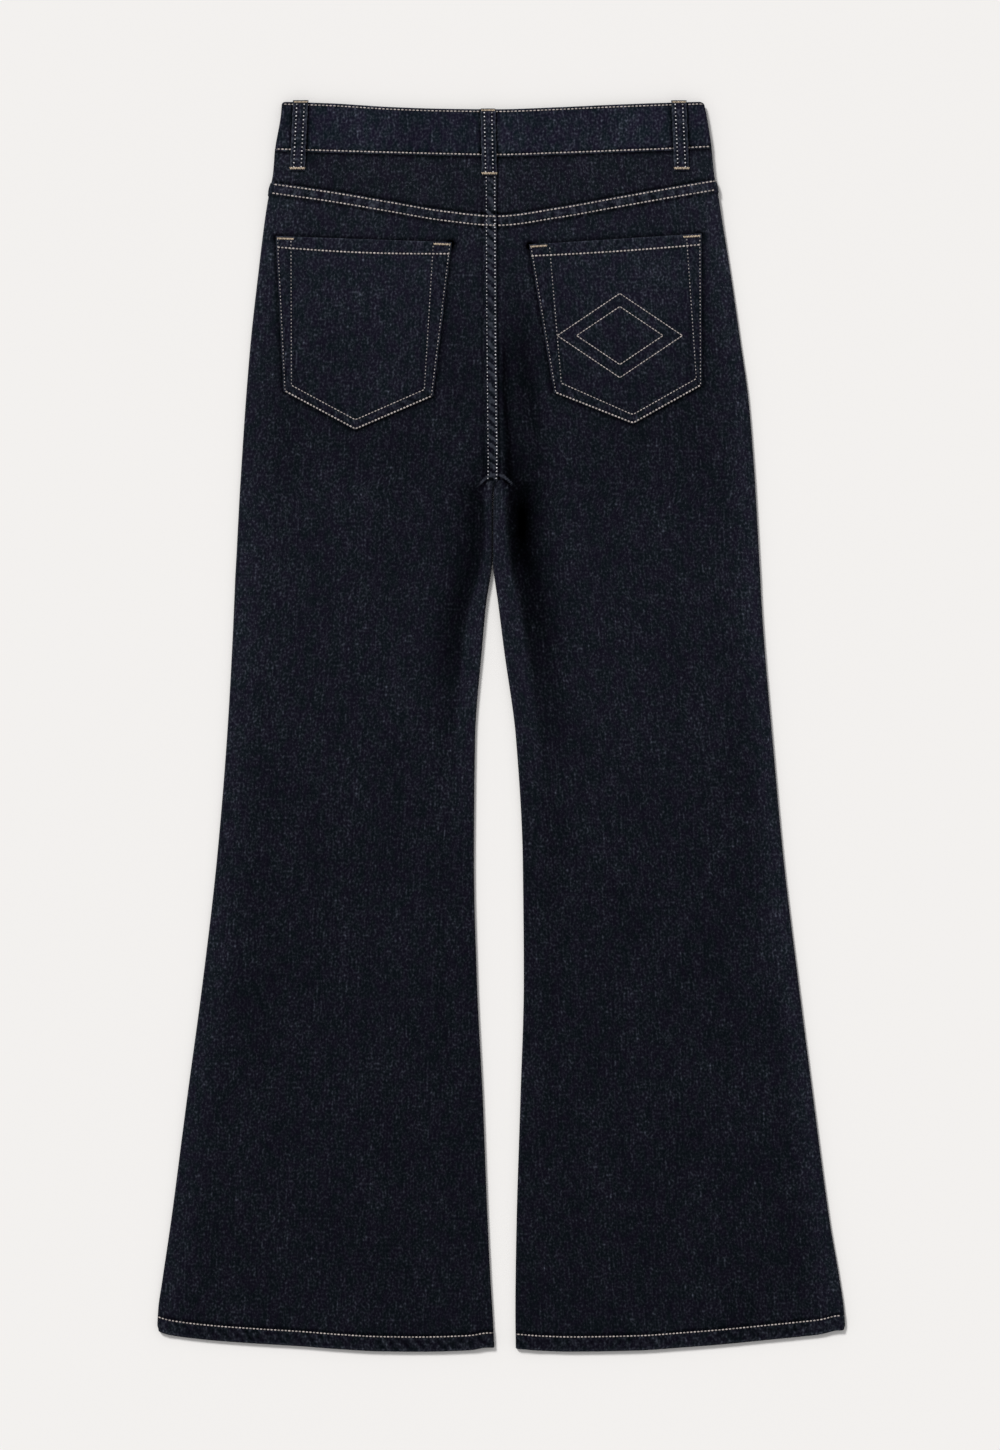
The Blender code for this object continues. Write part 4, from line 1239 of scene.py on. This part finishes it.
def band_row(share):
    """A row round the waistband: across, down, height, and 1 where it faces up or -1 down."""
    lift = float(HIGH["lift"](0.0))
    radius = 0.5 * BAND_EDGE
    side_down = share * BAND_TALL
    corner = 1.4 * (1.0 - min(1.0, share / 0.05)) ** 2
    left = float(OUT["left"](side_down)) + radius + corner
    right = float(OUT["right"](side_down)) - radius - corner
    front = np.linspace(0.0, 1.0, 40)
    angles = np.pi * np.arange(1, 10) / 10.0
    part = np.arange(1, 10) / 10.0
    first = CENTRE_FRONT - BAND_GAP + (left - CENTRE_FRONT) * front
    last = right + (CENTRE_FRONT + BAND_GAP - right) * front
    back = left + (right - left) * np.linspace(0.0, 1.0, 220)
    left_front, left_back = front_band_down(left, share), back_band_down(left, share)
    right_front, right_back = front_band_down(right, share), back_band_down(right, share)
    across = np.concatenate((first, left - radius * np.sin(angles), back,
                             right + radius * np.sin(angles), last))
    down = np.concatenate((front_band_down(first, share),
                           left_front + (left_back - left_front) * part,
                           back_band_down(back, share),
                           right_back + (right_front - right_back) * part,
                           front_band_down(last, share)))
    facing = np.concatenate((-np.ones_like(front), -np.cos(angles), np.ones_like(back),
                             np.cos(angles), -np.ones_like(front)))
    return across, down, lift + radius * (1.0 + facing), facing


def band_relief(run, from_top, from_low):
    """What sewing does to the waistband: its swell, stitched grooves, rounded edges and wear, with
    painted highlight and shade.
    """
    top_pucker = roping(run, from_top, 8.0, 0.8, 21.0)
    low_pucker = roping(run, from_low, 8.5, -0.8, 25.0)
    top_reach = bell(from_top, 5.5)
    low_reach = bell(from_low, 6.0)
    swell = 0.28 * np.sin(np.pi * np.clip((from_top - 2.0) / 37.0, 0.0, 1.0))
    swell = swell + 0.16 * wander(run / 23.0, 3.0) * np.sin(np.pi * from_top / BAND_CLOTH)
    bead = 0.20 * top_pucker * top_reach + 0.22 * low_pucker * low_reach
    from_top_line, from_low_line = from_top - BAND_LINES[0], from_low - BAND_LINES[1]
    groove = 0.26 * bell(from_top_line, 0.75) + 0.26 * bell(from_low_line, 0.75)
    lip = 0.75 * rounded(np.clip(from_top / 1.4, 0.0, 1.0))
    lip = lip + 0.75 * rounded(np.clip(from_low / 1.4, 0.0, 1.0))
    # Edges paled as wear; pucker crests paled as wear and painted highlight, valleys and stitched
    # grooves given painted shade.
    wear_and_shading = 0.75 * top_pucker * top_reach + 0.7 * bell(from_top, 1.0)
    wear_and_shading = wear_and_shading + 0.75 * low_pucker * low_reach + 0.6 * bell(from_low, 0.9)
    wear_and_shading = wear_and_shading - 0.4 * bell(from_top_line, 1.0) - 0.5 * bell(from_low_line - 1.0, 1.2)
    return swell + bead, groove, lip, wear_and_shading


def waistband(finish):
    """The waistband: one strip round the waist, with its edges eased by the stitching."""
    shares = np.concatenate((np.linspace(0.0, 0.09, 6), np.linspace(0.13, 0.87, 12),
                             np.linspace(0.91, 1.0, 6)))
    across, down, height, facing = [np.stack(part) for part in zip(*map(band_row, shares))]
    from_top = shares[:, None] * BAND_CLOTH + 0.0 * across
    from_low = BAND_CLOTH - from_top
    run = np.cumsum(np.hypot(np.diff(across, axis=1, prepend=across[:, :1]),
                             np.diff(height, axis=1, prepend=height[:, :1])), axis=1)
    swell, groove, lip, wear_and_shading = band_relief(run, from_top, from_low)
    height = height + (np.where(facing > 0.0, swell, 0.0) - groove - lip) * facing
    for shape in BACK_LOOPS:
        middle = shape.top_x + (shape.foot_x - shape.top_x) * from_top / 58.0
        gap = np.abs(across - middle) - 0.5 * LOOP_WIDTH
        # Painted shadow on the waistband beside each loop.
        wear_and_shading = wear_and_shading + np.where(facing > 0.5, kept_dye_and_shade(np.maximum(gap, 0.0), 0.9, 2.4), 0.0)
    tone = 0.14 * wander(run / 21.0 + 0.5 * wander(from_top / 14.0, 2.0), 5.0)
    piece = lay_cloth("waistband_cloth", across, down, height, wear_and_shading, tone)
    thicken(piece, BAND - 0.9 * bell(from_top, 0.9) - 0.9 * bell(from_low, 0.9), True)
    piece.data.materials.append(finish)
    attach(piece, "root")
    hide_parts("waistband")
    return piece


def tip_share(shape):
    """Where a pocket's tip is along its width."""
    return (shape.tip_x - shape.outer_low_x) / (shape.inner_low_x - shape.outer_low_x)


def pocket_places(shape, share_x, share_y):
    """Places on a pocket: across its width by share_x, down its depth by share_y."""
    tip = tip_share(shape)
    top_x = shape.outer_x + (shape.inner_x - shape.outer_x) * share_x
    top_down = shape.outer_down + (shape.inner_down - shape.outer_down) * share_x
    low_x = shape.outer_low_x + (shape.inner_low_x - shape.outer_low_x) * share_x
    outer_part = shape.outer_low_down + (shape.tip_down - shape.outer_low_down) * share_x / tip
    inner_part = shape.tip_down + (shape.inner_low_down - shape.tip_down) \
        * (share_x - tip) / (1.0 - tip)
    low_down = np.where(share_x <= tip, outer_part, inner_part)
    return top_x + (low_x - top_x) * share_y, top_down + (low_down - top_down) * share_y


def leg_face(side, across, down):
    """Outer face of a back leg anywhere under a pocket."""
    start = OUT[side](down) + inward(side) * 2.2
    rise, _wear_and_shading = seams_over(side, across, down)
    from_inner = np.abs(across - IN[side](down))
    height, tone = panel_fold(side, across, down, np.abs(across - start), from_inner, from_inner)
    return HIGH["lift"](down) + height + rise, tone


def edge_distance(places, first, second):
    """Distance of places from the straight line through two points."""
    ahead = np.array(second, float) - np.array(first, float)
    ahead /= np.linalg.norm(ahead)
    return np.abs((places[0] - first[0]) * ahead[1] - (places[1] - first[1]) * ahead[0])


def back_pocket(shape, finish):
    """A patch pocket: edges folded under and sewn down, the middle standing off a little."""
    tip = tip_share(shape)
    fine = np.array([0.0, 0.004, 0.009, 0.018, 0.03, 0.045, 0.06, 0.078, 0.095])
    shares = np.concatenate((fine, np.linspace(0.115, 0.885, 54), 1.0 - fine[::-1]))
    share_x = np.copy(shares)
    share_x[np.argmin(np.abs(share_x - tip))] = tip
    share_x, share_y = np.meshgrid(share_x, shares)
    places = across, down = pocket_places(shape, share_x, share_y)
    outer, outer_low, low_tip, inner_low, inner = pocket_corners(shape)
    to_side = np.minimum(edge_distance(places, outer, outer_low),
                         edge_distance(places, inner, inner_low))
    to_low = np.where(share_x <= tip, edge_distance(places, outer_low, low_tip),
                      edge_distance(places, inner_low, low_tip))
    to_top = edge_distance(places, outer, inner)
    nearest = np.minimum(to_side, to_low)
    base, tone = leg_face(shape.side, across, down)
    lip = np.clip(np.minimum(nearest, to_top) / 1.3, 0.0, 1.0)
    rise = POCKET_RISE - 0.6 * rounded(lip)
    rise = rise - 0.28 * ease((nearest - 8.5) / 2.0) * ease((to_top - 9.0) / 2.0)
    rise = rise - 0.26 * bell(nearest - 2.0, 0.8)
    rise = rise - 0.22 * bell(to_top - POCKET_HEM_LINE, 0.9)
    belly = np.sin(np.pi * share_x) * np.sin(np.pi * share_y)
    rise = rise + 0.55 * belly
    rise = rise + 0.35 * belly * wander(across / 21.0 + down / 60.0, 3.0 + shape.tip_x)
    seed = 31.0 if shape.side == "left" else 35.0
    side_pucker = roping(down, to_side, 9.0, 0.9, seed) * bell(to_side, 9.0)
    low_pucker = roping(across, to_low, 9.0, 0.9, seed + 2.0) * bell(to_low, 8.0)
    top_pucker = roping(across, to_top, 9.0, 0.8, seed + 5.0) * bell(to_top, 8.0)
    rise = rise + 0.22 * (side_pucker + low_pucker + 0.8 * top_pucker)
    # Folded edges paled as wear; pucker crests paled as wear and painted highlight, valleys
    # darkened as painted shade.
    wear_and_shading = 0.6 * bell(np.minimum(nearest, to_top) - 0.3, 0.8)
    wear_and_shading = wear_and_shading + 0.8 * (side_pucker + low_pucker + top_pucker)
    # Painted shade along the stitched grooves, under the hem's row and along the inner row.
    wear_and_shading = wear_and_shading - 0.3 * bell(nearest - 2.0, 1.0) - 0.4 * bell(to_top - POCKET_HEM_LINE - 1.4, 1.3)
    wear_and_shading = wear_and_shading - 0.3 * bell(nearest - 10.5, 1.6) * ease((to_top - 6.0) / 3.0)
    piece = lay_cloth(f"back_pocket_{shape.side}_cloth", across, down, base + rise, wear_and_shading,
                      tone + 0.06)
    thicken(piece, POCKET_PLY - 0.5 * (1.0 - lip), True)
    piece.data.materials.append(finish)
    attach(piece, "root")
    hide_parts("back_pocket_" + shape.side)
    return piece


def belt_loop(name, top, foot, heights, outward_up, finish):
    """A belt loop: a folded strip with frayed sides, along a line of heights."""
    shares = np.linspace(0.0, 1.0, 44)[:, None]
    half = np.array([0.05, 0.16, 0.27, 0.36, 0.42, 0.46, 0.487, 0.5])
    offsets = np.concatenate((-half[::-1], half))[None, :]
    rest = np.interp(shares, *zip(*heights))
    smooth = np.copy(rest)
    for _pass in range(3):
        smooth[1:-1] = 0.25 * smooth[:-2] + 0.5 * smooth[1:-1] + 0.25 * smooth[2:]
    ragged = 0.35 * wander(shares * 31.0, top[0] * 0.1) * np.sign(offsets) * (np.abs(offsets) > 0.4)
    across = top[0] + (foot[0] - top[0]) * shares + offsets * LOOP_WIDTH + ragged
    down = top[1] + (foot[1] - top[1]) * shares + 0.0 * offsets
    side = np.abs(offsets * LOOP_WIDTH)
    from_side = 0.5 * LOOP_WIDTH - side
    lip = np.clip(from_side / 1.1, 0.0, 1.0)
    crown = -0.5 * rounded(lip) - 0.22 * bell(side - LOOP_LINES, 0.7)
    crown = crown + 0.2 * bell(side, 2.2)
    end = np.minimum(shares, 1.0 - shares) * (foot[1] - top[1])
    crown = crown - 0.5 * (1.0 - ease(end / 1.2)) + 0.0 * offsets
    crown = crown + 0.10 * wander(down / 3.1 + across / 2.7, top[0])
    sign = 1.0 if outward_up else -1.0
    wear_and_shading = 1.3 * bell(from_side - 0.3, 0.8) + 0.35 * wander(down / 1.3, 4.0) + 0.15
    # Painted shade along each row of stitching.
    wear_and_shading = wear_and_shading - 0.9 * bell(side - LOOP_LINES, 1.1)
    piece = lay_cloth(name + "_cloth", across, down, smooth + sign * crown, wear_and_shading,
                      np.full(across.shape, 0.10))
    thicken(piece, LOOP_THICK - 0.5 * (1.0 - lip) + 0.0 * shares, outward_up)
    piece.data.materials.append(finish)
    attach(piece, "root")
    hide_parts(name)
    return piece


def back_loop(shape, finish):
    """A loop over the back of the waistband, and its two ends as (across, down)."""
    middle = shape.name == "belt_loop_centre"
    lift = float(HIGH["lift"](0.0))
    on_band = lift + BAND_EDGE + 0.5 + LOOP_THICK
    on_yoke = lift + 4.3 + 0.3 + LOOP_THICK
    top = (shape.top_x, float(band_top(shape.top_x)) - (0.4 if middle else 1.6))
    foot = (shape.foot_x, 65.5 if middle else 60.9)
    rest = on_yoke + (FELL_RISE if middle else 0.0)
    heights = ((0.0, on_band - 0.2), (0.08, on_band + 0.1), (0.35, on_band + 0.8),
               (0.6, on_band + 0.7), (0.78, on_band + 0.3), (0.88, rest + 0.35), (1.0, rest))
    return belt_loop(shape.name, top, foot, heights, True, finish), (top, foot)


def front_loop(name, across, finish):
    """A loop on the front of the waistband, flat on the surface, and its two ends."""
    top = (across, float(front_dip(across)) + 0.7)
    foot = (across, float(front_band_bottom(across)) + 12.0)
    return belt_loop(name, top, foot, ((0.0, 0.1), (1.0, 0.1)), False, finish), (top, foot)


# ---- Hard pieces ------------------------------------------------------------------------------

def waist_button(finish):
    """A plain shank button: a dished face in a rolled rim, facing the surface."""
    low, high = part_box("waist_button")
    centre = ((low[0] + high[0]) / 2, (low[1] + high[1]) / 2)
    radius = (high[0] - low[0]) / 2
    deselect()
    bpy.ops.mesh.primitive_cylinder_add(vertices=48, radius=radius, depth=high[2] - low[2],
                                        location=(centre[0], centre[1], (low[2] + high[2]) / 2))
    piece = bpy.context.active_object
    piece.name = "waist_button_metal"
    bpy.ops.object.transform_apply(location=True, rotation=False, scale=False)
    bpy.ops.object.mode_set(mode="EDIT")
    bpy.ops.mesh.select_all(action="DESELECT")
    shape = bmesh.from_edit_mesh(piece.data)
    for face in shape.faces:
        face.select = face.normal.z < -0.9
    bmesh.update_edit_mesh(piece.data)
    bpy.ops.mesh.inset(thickness=0.0016, depth=0.0)
    bpy.ops.mesh.inset(thickness=0.0006, depth=-0.0004)
    bpy.ops.mesh.inset(thickness=0.003, depth=0.0)
    bpy.ops.mesh.inset(thickness=0.0008, depth=0.00025)
    bpy.ops.object.mode_set(mode="OBJECT")
    bpy.ops.object.modifier_add(type="BEVEL")
    rim = piece.modifiers[-1]
    rim.width = 0.0003
    rim.segments = 3
    rim.limit_method = "ANGLE"
    bpy.ops.object.modifier_apply(modifier=rim.name)
    bpy.ops.object.shade_smooth_by_angle(angle=math.radians(35.0))
    piece.data.materials.append(finish)
    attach(piece, "root")
    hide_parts("waist_button")
    return piece


# ---- The set ----------------------------------------------------------------------------------

def lay_floor():
    deselect()
    bpy.ops.mesh.primitive_plane_add(size=60.0, location=(0.0, 0.0, -0.0002))
    floor = bpy.context.active_object
    floor.name = "studio_floor"
    bpy.ops.object.transform_apply(location=True, rotation=False, scale=False)
    floor.data.materials.append(studio_floor())


def light_the_set():
    """Even soft light from all round, with one broad lamp from above the waist."""
    world = bpy.data.worlds.new("soft studio")
    bpy.context.scene.world = world
    world.use_nodes = True
    tree = world.node_tree
    back = tree.nodes["Background"]
    # The backdrop is seen brighter than it lights the cloth.
    seen = node(tree, "ShaderNodeLightPath").outputs["Is Camera Ray"]
    strength = maths(tree, "MULTIPLY_ADD", seen, 0.44, 0.46)
    back.inputs["Color"].default_value = (1.0, 0.99, 0.985, 1.0)
    tree.links.new(strength, back.inputs["Strength"])
    lamp = bpy.data.lights.new("broad lamp", "SUN")
    lamp.energy = 2.35
    lamp.angle = math.radians(14.0)
    lamp.color = (1.0, 0.99, 0.97)
    holder = bpy.data.objects.new("broad lamp", lamp)
    bpy.context.scene.collection.objects.link(holder)
    holder.rotation_euler = Vector((-0.42, 0.60, 0.72)).to_track_quat("Z", "Y").to_euler()


def set_camera():
    """Straight above the garment, framed as the photo is, 1000 by 1450."""
    bpy.context.scene.view_settings.view_transform = "Standard"
    camera = bpy.data.cameras.new("camera")
    camera.sensor_fit = "AUTO"
    camera.sensor_width = 36.0
    camera.lens = 36.0 * CAMERA_HEIGHT / FRAME_TALL
    holder = bpy.data.objects.new("camera", camera)
    bpy.context.scene.collection.objects.link(holder)
    holder.location = (-0.0013, 0.0018, CAMERA_HEIGHT)
    bpy.context.scene.camera = holder


# ---- Sewing the garment -----------------------------------------------------------------------

def row_line(side, base, near_yoke, near_hem):
    """A line across a back leg or yoke, round its rolls, as points in the garment's space."""
    fields = back_rows(side, leg_lines([base], [near_yoke], [near_hem]))
    return np.stack((fields[0][0], y_of(fields[1][0]), fields[2][0]), axis=1)


def sew_yokes(surfaces, topstitch):
    for side in ("left", "right"):
        for line in YOKE_LINES:
            points = row_line(side, line, 1.0, 0.0)
            inner = IN[side](98.0) + (0.0 if side == "left" else 0.6)
            keep = (points[:, 0] - inner) * inward(side) < -0.2
            sew(topstitch, surfaces["back_leg_" + side], points[keep], YOKE_STITCH)


def sew_centre(surfaces, fine_thread):
    for line, stitch in zip(CENTRE_LINES, CENTRE_STITCHES):
        for name, low, high in (("back_yoke_left", 49.5, 97.0), ("back_leg_left", 100.0, 333.0)):
            places = [(float(IN["left"](down)) - line, down) for down in np.linspace(low, high, 90)]
            sew_down(fine_thread, surfaces[name], places, stitch)


def sew_hems(surfaces, topstitch):
    for side in ("left", "right"):
        points = row_line(side, LENGTH - HEM_LINE_UP, 0.0, 1.0)
        sew(topstitch, surfaces["back_leg_" + side], points, HEM_STITCH)
        toward = inward(side)
        outer = float(OUT[side](1085.0)) + toward * (UNDER_REACH + 1.0)
        inner = float(IN[side](1090.0)) - toward * 6.5
        under = [(across, y_of(float(hem_line(across))) + HEM_LINE_UP, -0.2)
                 for across in np.linspace(outer, inner, 60)]
        sew(topstitch, surfaces["front_leg_" + side], under, HEM_UNDER_STITCH, raise_by=UNDER_SINK)


def sew_waistband(surfaces, topstitch):
    tree = surfaces["waistband"]
    lift = float(HIGH["lift"](0.0))
    radius = 0.5 * BAND_EDGE
    for share, stitch in ((BAND_LINES[0] / BAND_CLOTH, BAND_TOP_STITCH),
                          (1.0 - BAND_LINES[1] / BAND_CLOTH, BAND_LOW_STITCH)):
        left = float(OUT["left"](share * BAND_TALL)) + radius
        right = float(OUT["right"](share * BAND_TALL)) - radius
        back = np.linspace(left, right, 120)
        down = back_band_down(back, share)
        points = list(zip(back, y_of(down), np.full(120, lift + BAND_EDGE)))
        front_left, front_right = front_band_down(left, share), front_band_down(right, share)
        for k, angle in enumerate(np.linspace(0.0, np.pi, 14)[1:-1]):
            part = (k + 1) / 13.0
            height = lift + radius * (1.0 + math.cos(angle))
            points.append((right + radius * math.sin(angle),
                           y_of(down[-1] + (front_right - down[-1]) * part), height))
            points.insert(0, (left - radius * math.sin(angle),
                              y_of(down[0] + (front_left - down[0]) * part), height))
        sew(topstitch, tree, points, stitch)
        for end, last in ((left, CENTRE_FRONT - 1.5), (right, CENTRE_FRONT + 1.5)):
            across = np.linspace(end, last, 60)
            under = list(zip(across, y_of(front_band_down(across, share)), np.full(60, lift)))
            sew(topstitch, tree, under, BAND_FRONT_STITCH)


def sew_pocket(shape, lines, surfaces, topstitch, side_thread, tack_thread):
    """A pocket's rows: along its top hem, round its V, up its sides, and its bartacks."""
    tree = surfaces["back_pocket_" + shape.side]
    toward = inward(shape.side)
    top_slope = (shape.inner_down - shape.outer_down) / (shape.inner_x - shape.outer_x)

    def below_top(across, inset):
        return shape.outer_down + top_slope * (across - shape.outer_x) + inset

    outer = [(shape.outer_x + toward * 1.5, shape.outer_down + 1.5),
             (shape.outer_low_x + toward * 1.5, shape.outer_low_down - 0.2),
             (shape.tip_x, shape.tip_down - 1.2),
             (shape.inner_low_x - toward * 1.6, shape.inner_low_down - 0.2),
             (shape.inner_x - toward * 1.7, shape.inner_down + 1.5)]
    inner = [(lines.outer_top_x - toward * 1.0, below_top(lines.outer_top_x, 3.0)),
             (lines.outer_low_x - toward * 0.6, lines.outer_low_down),
             (lines.tip_x, lines.tip_down), (lines.inner_low_x, lines.inner_low_down),
             (lines.inner_top_x, below_top(lines.inner_top_x, 3.0))]
    start, end = shape.outer_x + toward * 1.0, shape.inner_x - toward * 1.6
    sag = 1.9 if shape.side == "left" else 0.9
    hem = []
    for k in range(13):
        share = k / 12.0
        across = start + (end - start) * share
        hem.append((across, below_top(across, POCKET_HEM_LINE + 0.5 * share
                                      + sag * math.sin(math.pi * share))))
    sew_down(topstitch, tree, hem, POCKET_HEM_STITCH)
    for path, stitch in ((outer, POCKET_OUTER_STITCH), (inner, POCKET_INNER_STITCH)):
        sew_down(topstitch, tree, path[1:4], stitch)
        for part in (path[:2], path[3:]):
            sew_down(side_thread, tree, part, POCKET_SIDE_STITCH)
    for corner_x, sign in ((shape.outer_x, toward), (shape.inner_x, -toward)):
        centre = (corner_x + sign * 8.6, below_top(corner_x + sign * 8.6, 2.1))
        bartack(tack_thread, tree, centre, 14.0, 1.9, angle=-math.atan(top_slope))


def sew_lozenges(shape, surfaces, fine_thread):
    """Two plain lozenges on a pocket, one in the other."""
    across = 0.5 * (shape.outer_x + shape.inner_x) + LOZENGE_ASIDE
    for half_wide, half_tall in LOZENGES:
        tips = [(across, LOZENGE_DOWN - half_tall), (across + half_wide, LOZENGE_DOWN),
                (across, LOZENGE_DOWN + half_tall), (across - half_wide, LOZENGE_DOWN)]
        for first, second in zip(tips, tips[1:] + tips[:1]):
            sew_down(fine_thread, surfaces["back_pocket_" + shape.side], (first, second),
                     LOZENGE_STITCH)


def sew_loop(tree, top, foot, fine_thread, tack_thread):
    for offset in (-LOOP_LINES, LOOP_LINES):
        places = ((top[0] + offset, top[1] + 2.0), (foot[0] + offset, foot[1] - 1.5))
        sew_down(fine_thread, tree, places, LOOP_STITCH)
    bartack(tack_thread, tree, (foot[0], foot[1] - 1.9), LOOP_WIDTH - 0.6, 2.2)
    bartack(tack_thread, tree, (top[0], top[1] + 1.6), LOOP_WIDTH - 2.0, 1.6)


def sew_front_loop(tree, top, foot, fine_thread):
    """The two rows of a front loop, on the underside."""
    for offset in (-LOOP_LINES, LOOP_LINES):
        under = [(top[0] + offset, y_of(float(down)), -0.2)
                 for down in np.linspace(top[1] + 3.0, foot[1] - 3.0, 12)]
        sew(fine_thread, tree, under, LOOP_UNDER_STITCH, raise_by=UNDER_SINK)


def sew_fly(surfaces, topstitch):
    """The J of topstitching on the left front, on the underside."""
    for inset in FLY_LINES:
        wider = inset - FLY_LINES[0]
        turn = FLY_TURN + wider
        bottom = FLY_BOTTOM + wider
        places = [(CENTRE_FRONT - inset, float(down))
                  for down in np.linspace(FLY_TOP, bottom - turn, 14)]
        for k in range(1, 9):
            angle = 0.5 * math.pi * k / 8
            places.append((CENTRE_FRONT - inset + turn * (1.0 - math.cos(angle)),
                           bottom - turn + turn * math.sin(angle)))
        points = [(across, y_of(down), float(HIGH["lift"](down)) - 0.1) for across, down in places]
        sew(topstitch, surfaces["front_leg_left"], points, FLY_STITCH, raise_by=UNDER_SINK)


def sew_garment(pieces, loop_ends, front_loop_ends, cream, pale, dusty, gold):
    """All the stitching, each kind of thread and place as one mesh."""
    surfaces = {name: surface_of(piece) for name, piece in pieces.items()}
    topstitch = Seamstress("topstitching", cream)
    sew_yokes(surfaces, topstitch)
    sew_waistband(surfaces, topstitch)
    sew_fly(surfaces, topstitch)
    topstitch.finish()
    hem_stitch = Seamstress("hem_stitching", cream)
    sew_hems(surfaces, hem_stitch)
    hem_stitch.finish()
    pocket_stitch = Seamstress("pocket_stitching", cream)
    side_stitch = Seamstress("pocket_side_stitching", dusty)
    fine_stitch = Seamstress("fine_stitching", pale)
    motif_stitch = Seamstress("pocket_motif_stitching", cream)
    tacks = Seamstress("bartacks", gold)
    for shape, lines in zip(POCKETS, POCKET_INNER_LINES):
        sew_pocket(shape, lines, surfaces, pocket_stitch, side_stitch, tacks)
    sew_lozenges(POCKET_ON["right"], surfaces, motif_stitch)
    sew_centre(surfaces, fine_stitch)
    for name, (top, foot) in loop_ends.items():
        sew_loop(surfaces[name], top, foot, fine_stitch, tacks)
    for name, (top, foot) in front_loop_ends.items():
        sew_front_loop(surfaces[name], top, foot, fine_stitch)
    for seamstress in (pocket_stitch, side_stitch, fine_stitch, motif_stitch, tacks):
        seamstress.finish()


def main():
    weave = denim_weave()
    # Copies of one denim at different brightness; the much brighter waistband is in part painted
    # light, falling off from the waist as the tone does.
    leg_denim = denim("leg denim", weave)
    seat_denim = denim("pocket denim", weave, 1.12)
    yoke_denim = denim("yoke denim", weave, 0.86)
    band_denim = denim("waistband denim", weave, 1.60)
    loop_denim = denim("belt loop denim", weave, 1.35, 1.4)
    cream = thread("cream topstitching", (0.435, 0.39, 0.37), 0.40)
    pale = thread("pale fine thread", (0.55, 0.545, 0.575), 0.62)
    dusty = thread("dusty side thread", (0.31, 0.29, 0.29), 0.62)
    gold = thread("gold bartack thread", (0.48, 0.39, 0.29), 0.55)

    pieces = {}
    for side in ("left", "right"):
        pieces["front_leg_" + side] = front_leg(side, leg_denim)
        pieces["back_leg_" + side] = back_leg(side, leg_denim)
        pieces["back_yoke_" + side] = back_yoke(side, yoke_denim)
    pieces["waistband"] = waistband(band_denim)
    for shape in POCKETS:
        pieces["back_pocket_" + shape.side] = back_pocket(shape, seat_denim)
    loop_ends = {}
    for shape in BACK_LOOPS:
        pieces[shape.name], loop_ends[shape.name] = back_loop(shape, loop_denim)
    front_loop_ends = {}
    for name, across in (("belt_loop_front_left", CENTRE_FRONT - FRONT_LOOP_X),
                         ("belt_loop_front_right", CENTRE_FRONT + FRONT_LOOP_X)):
        pieces[name], front_loop_ends[name] = front_loop(name, across, loop_denim)

    sew_garment(pieces, loop_ends, front_loop_ends, cream, pale, dusty, gold)

    waist_button(button_metal())
    zip_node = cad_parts["fly_zip"]
    zip_node.data.materials.clear()
    zip_node.data.materials.append(zip_cloth())

    lay_floor()
    light_the_set()
    set_camera()


main()
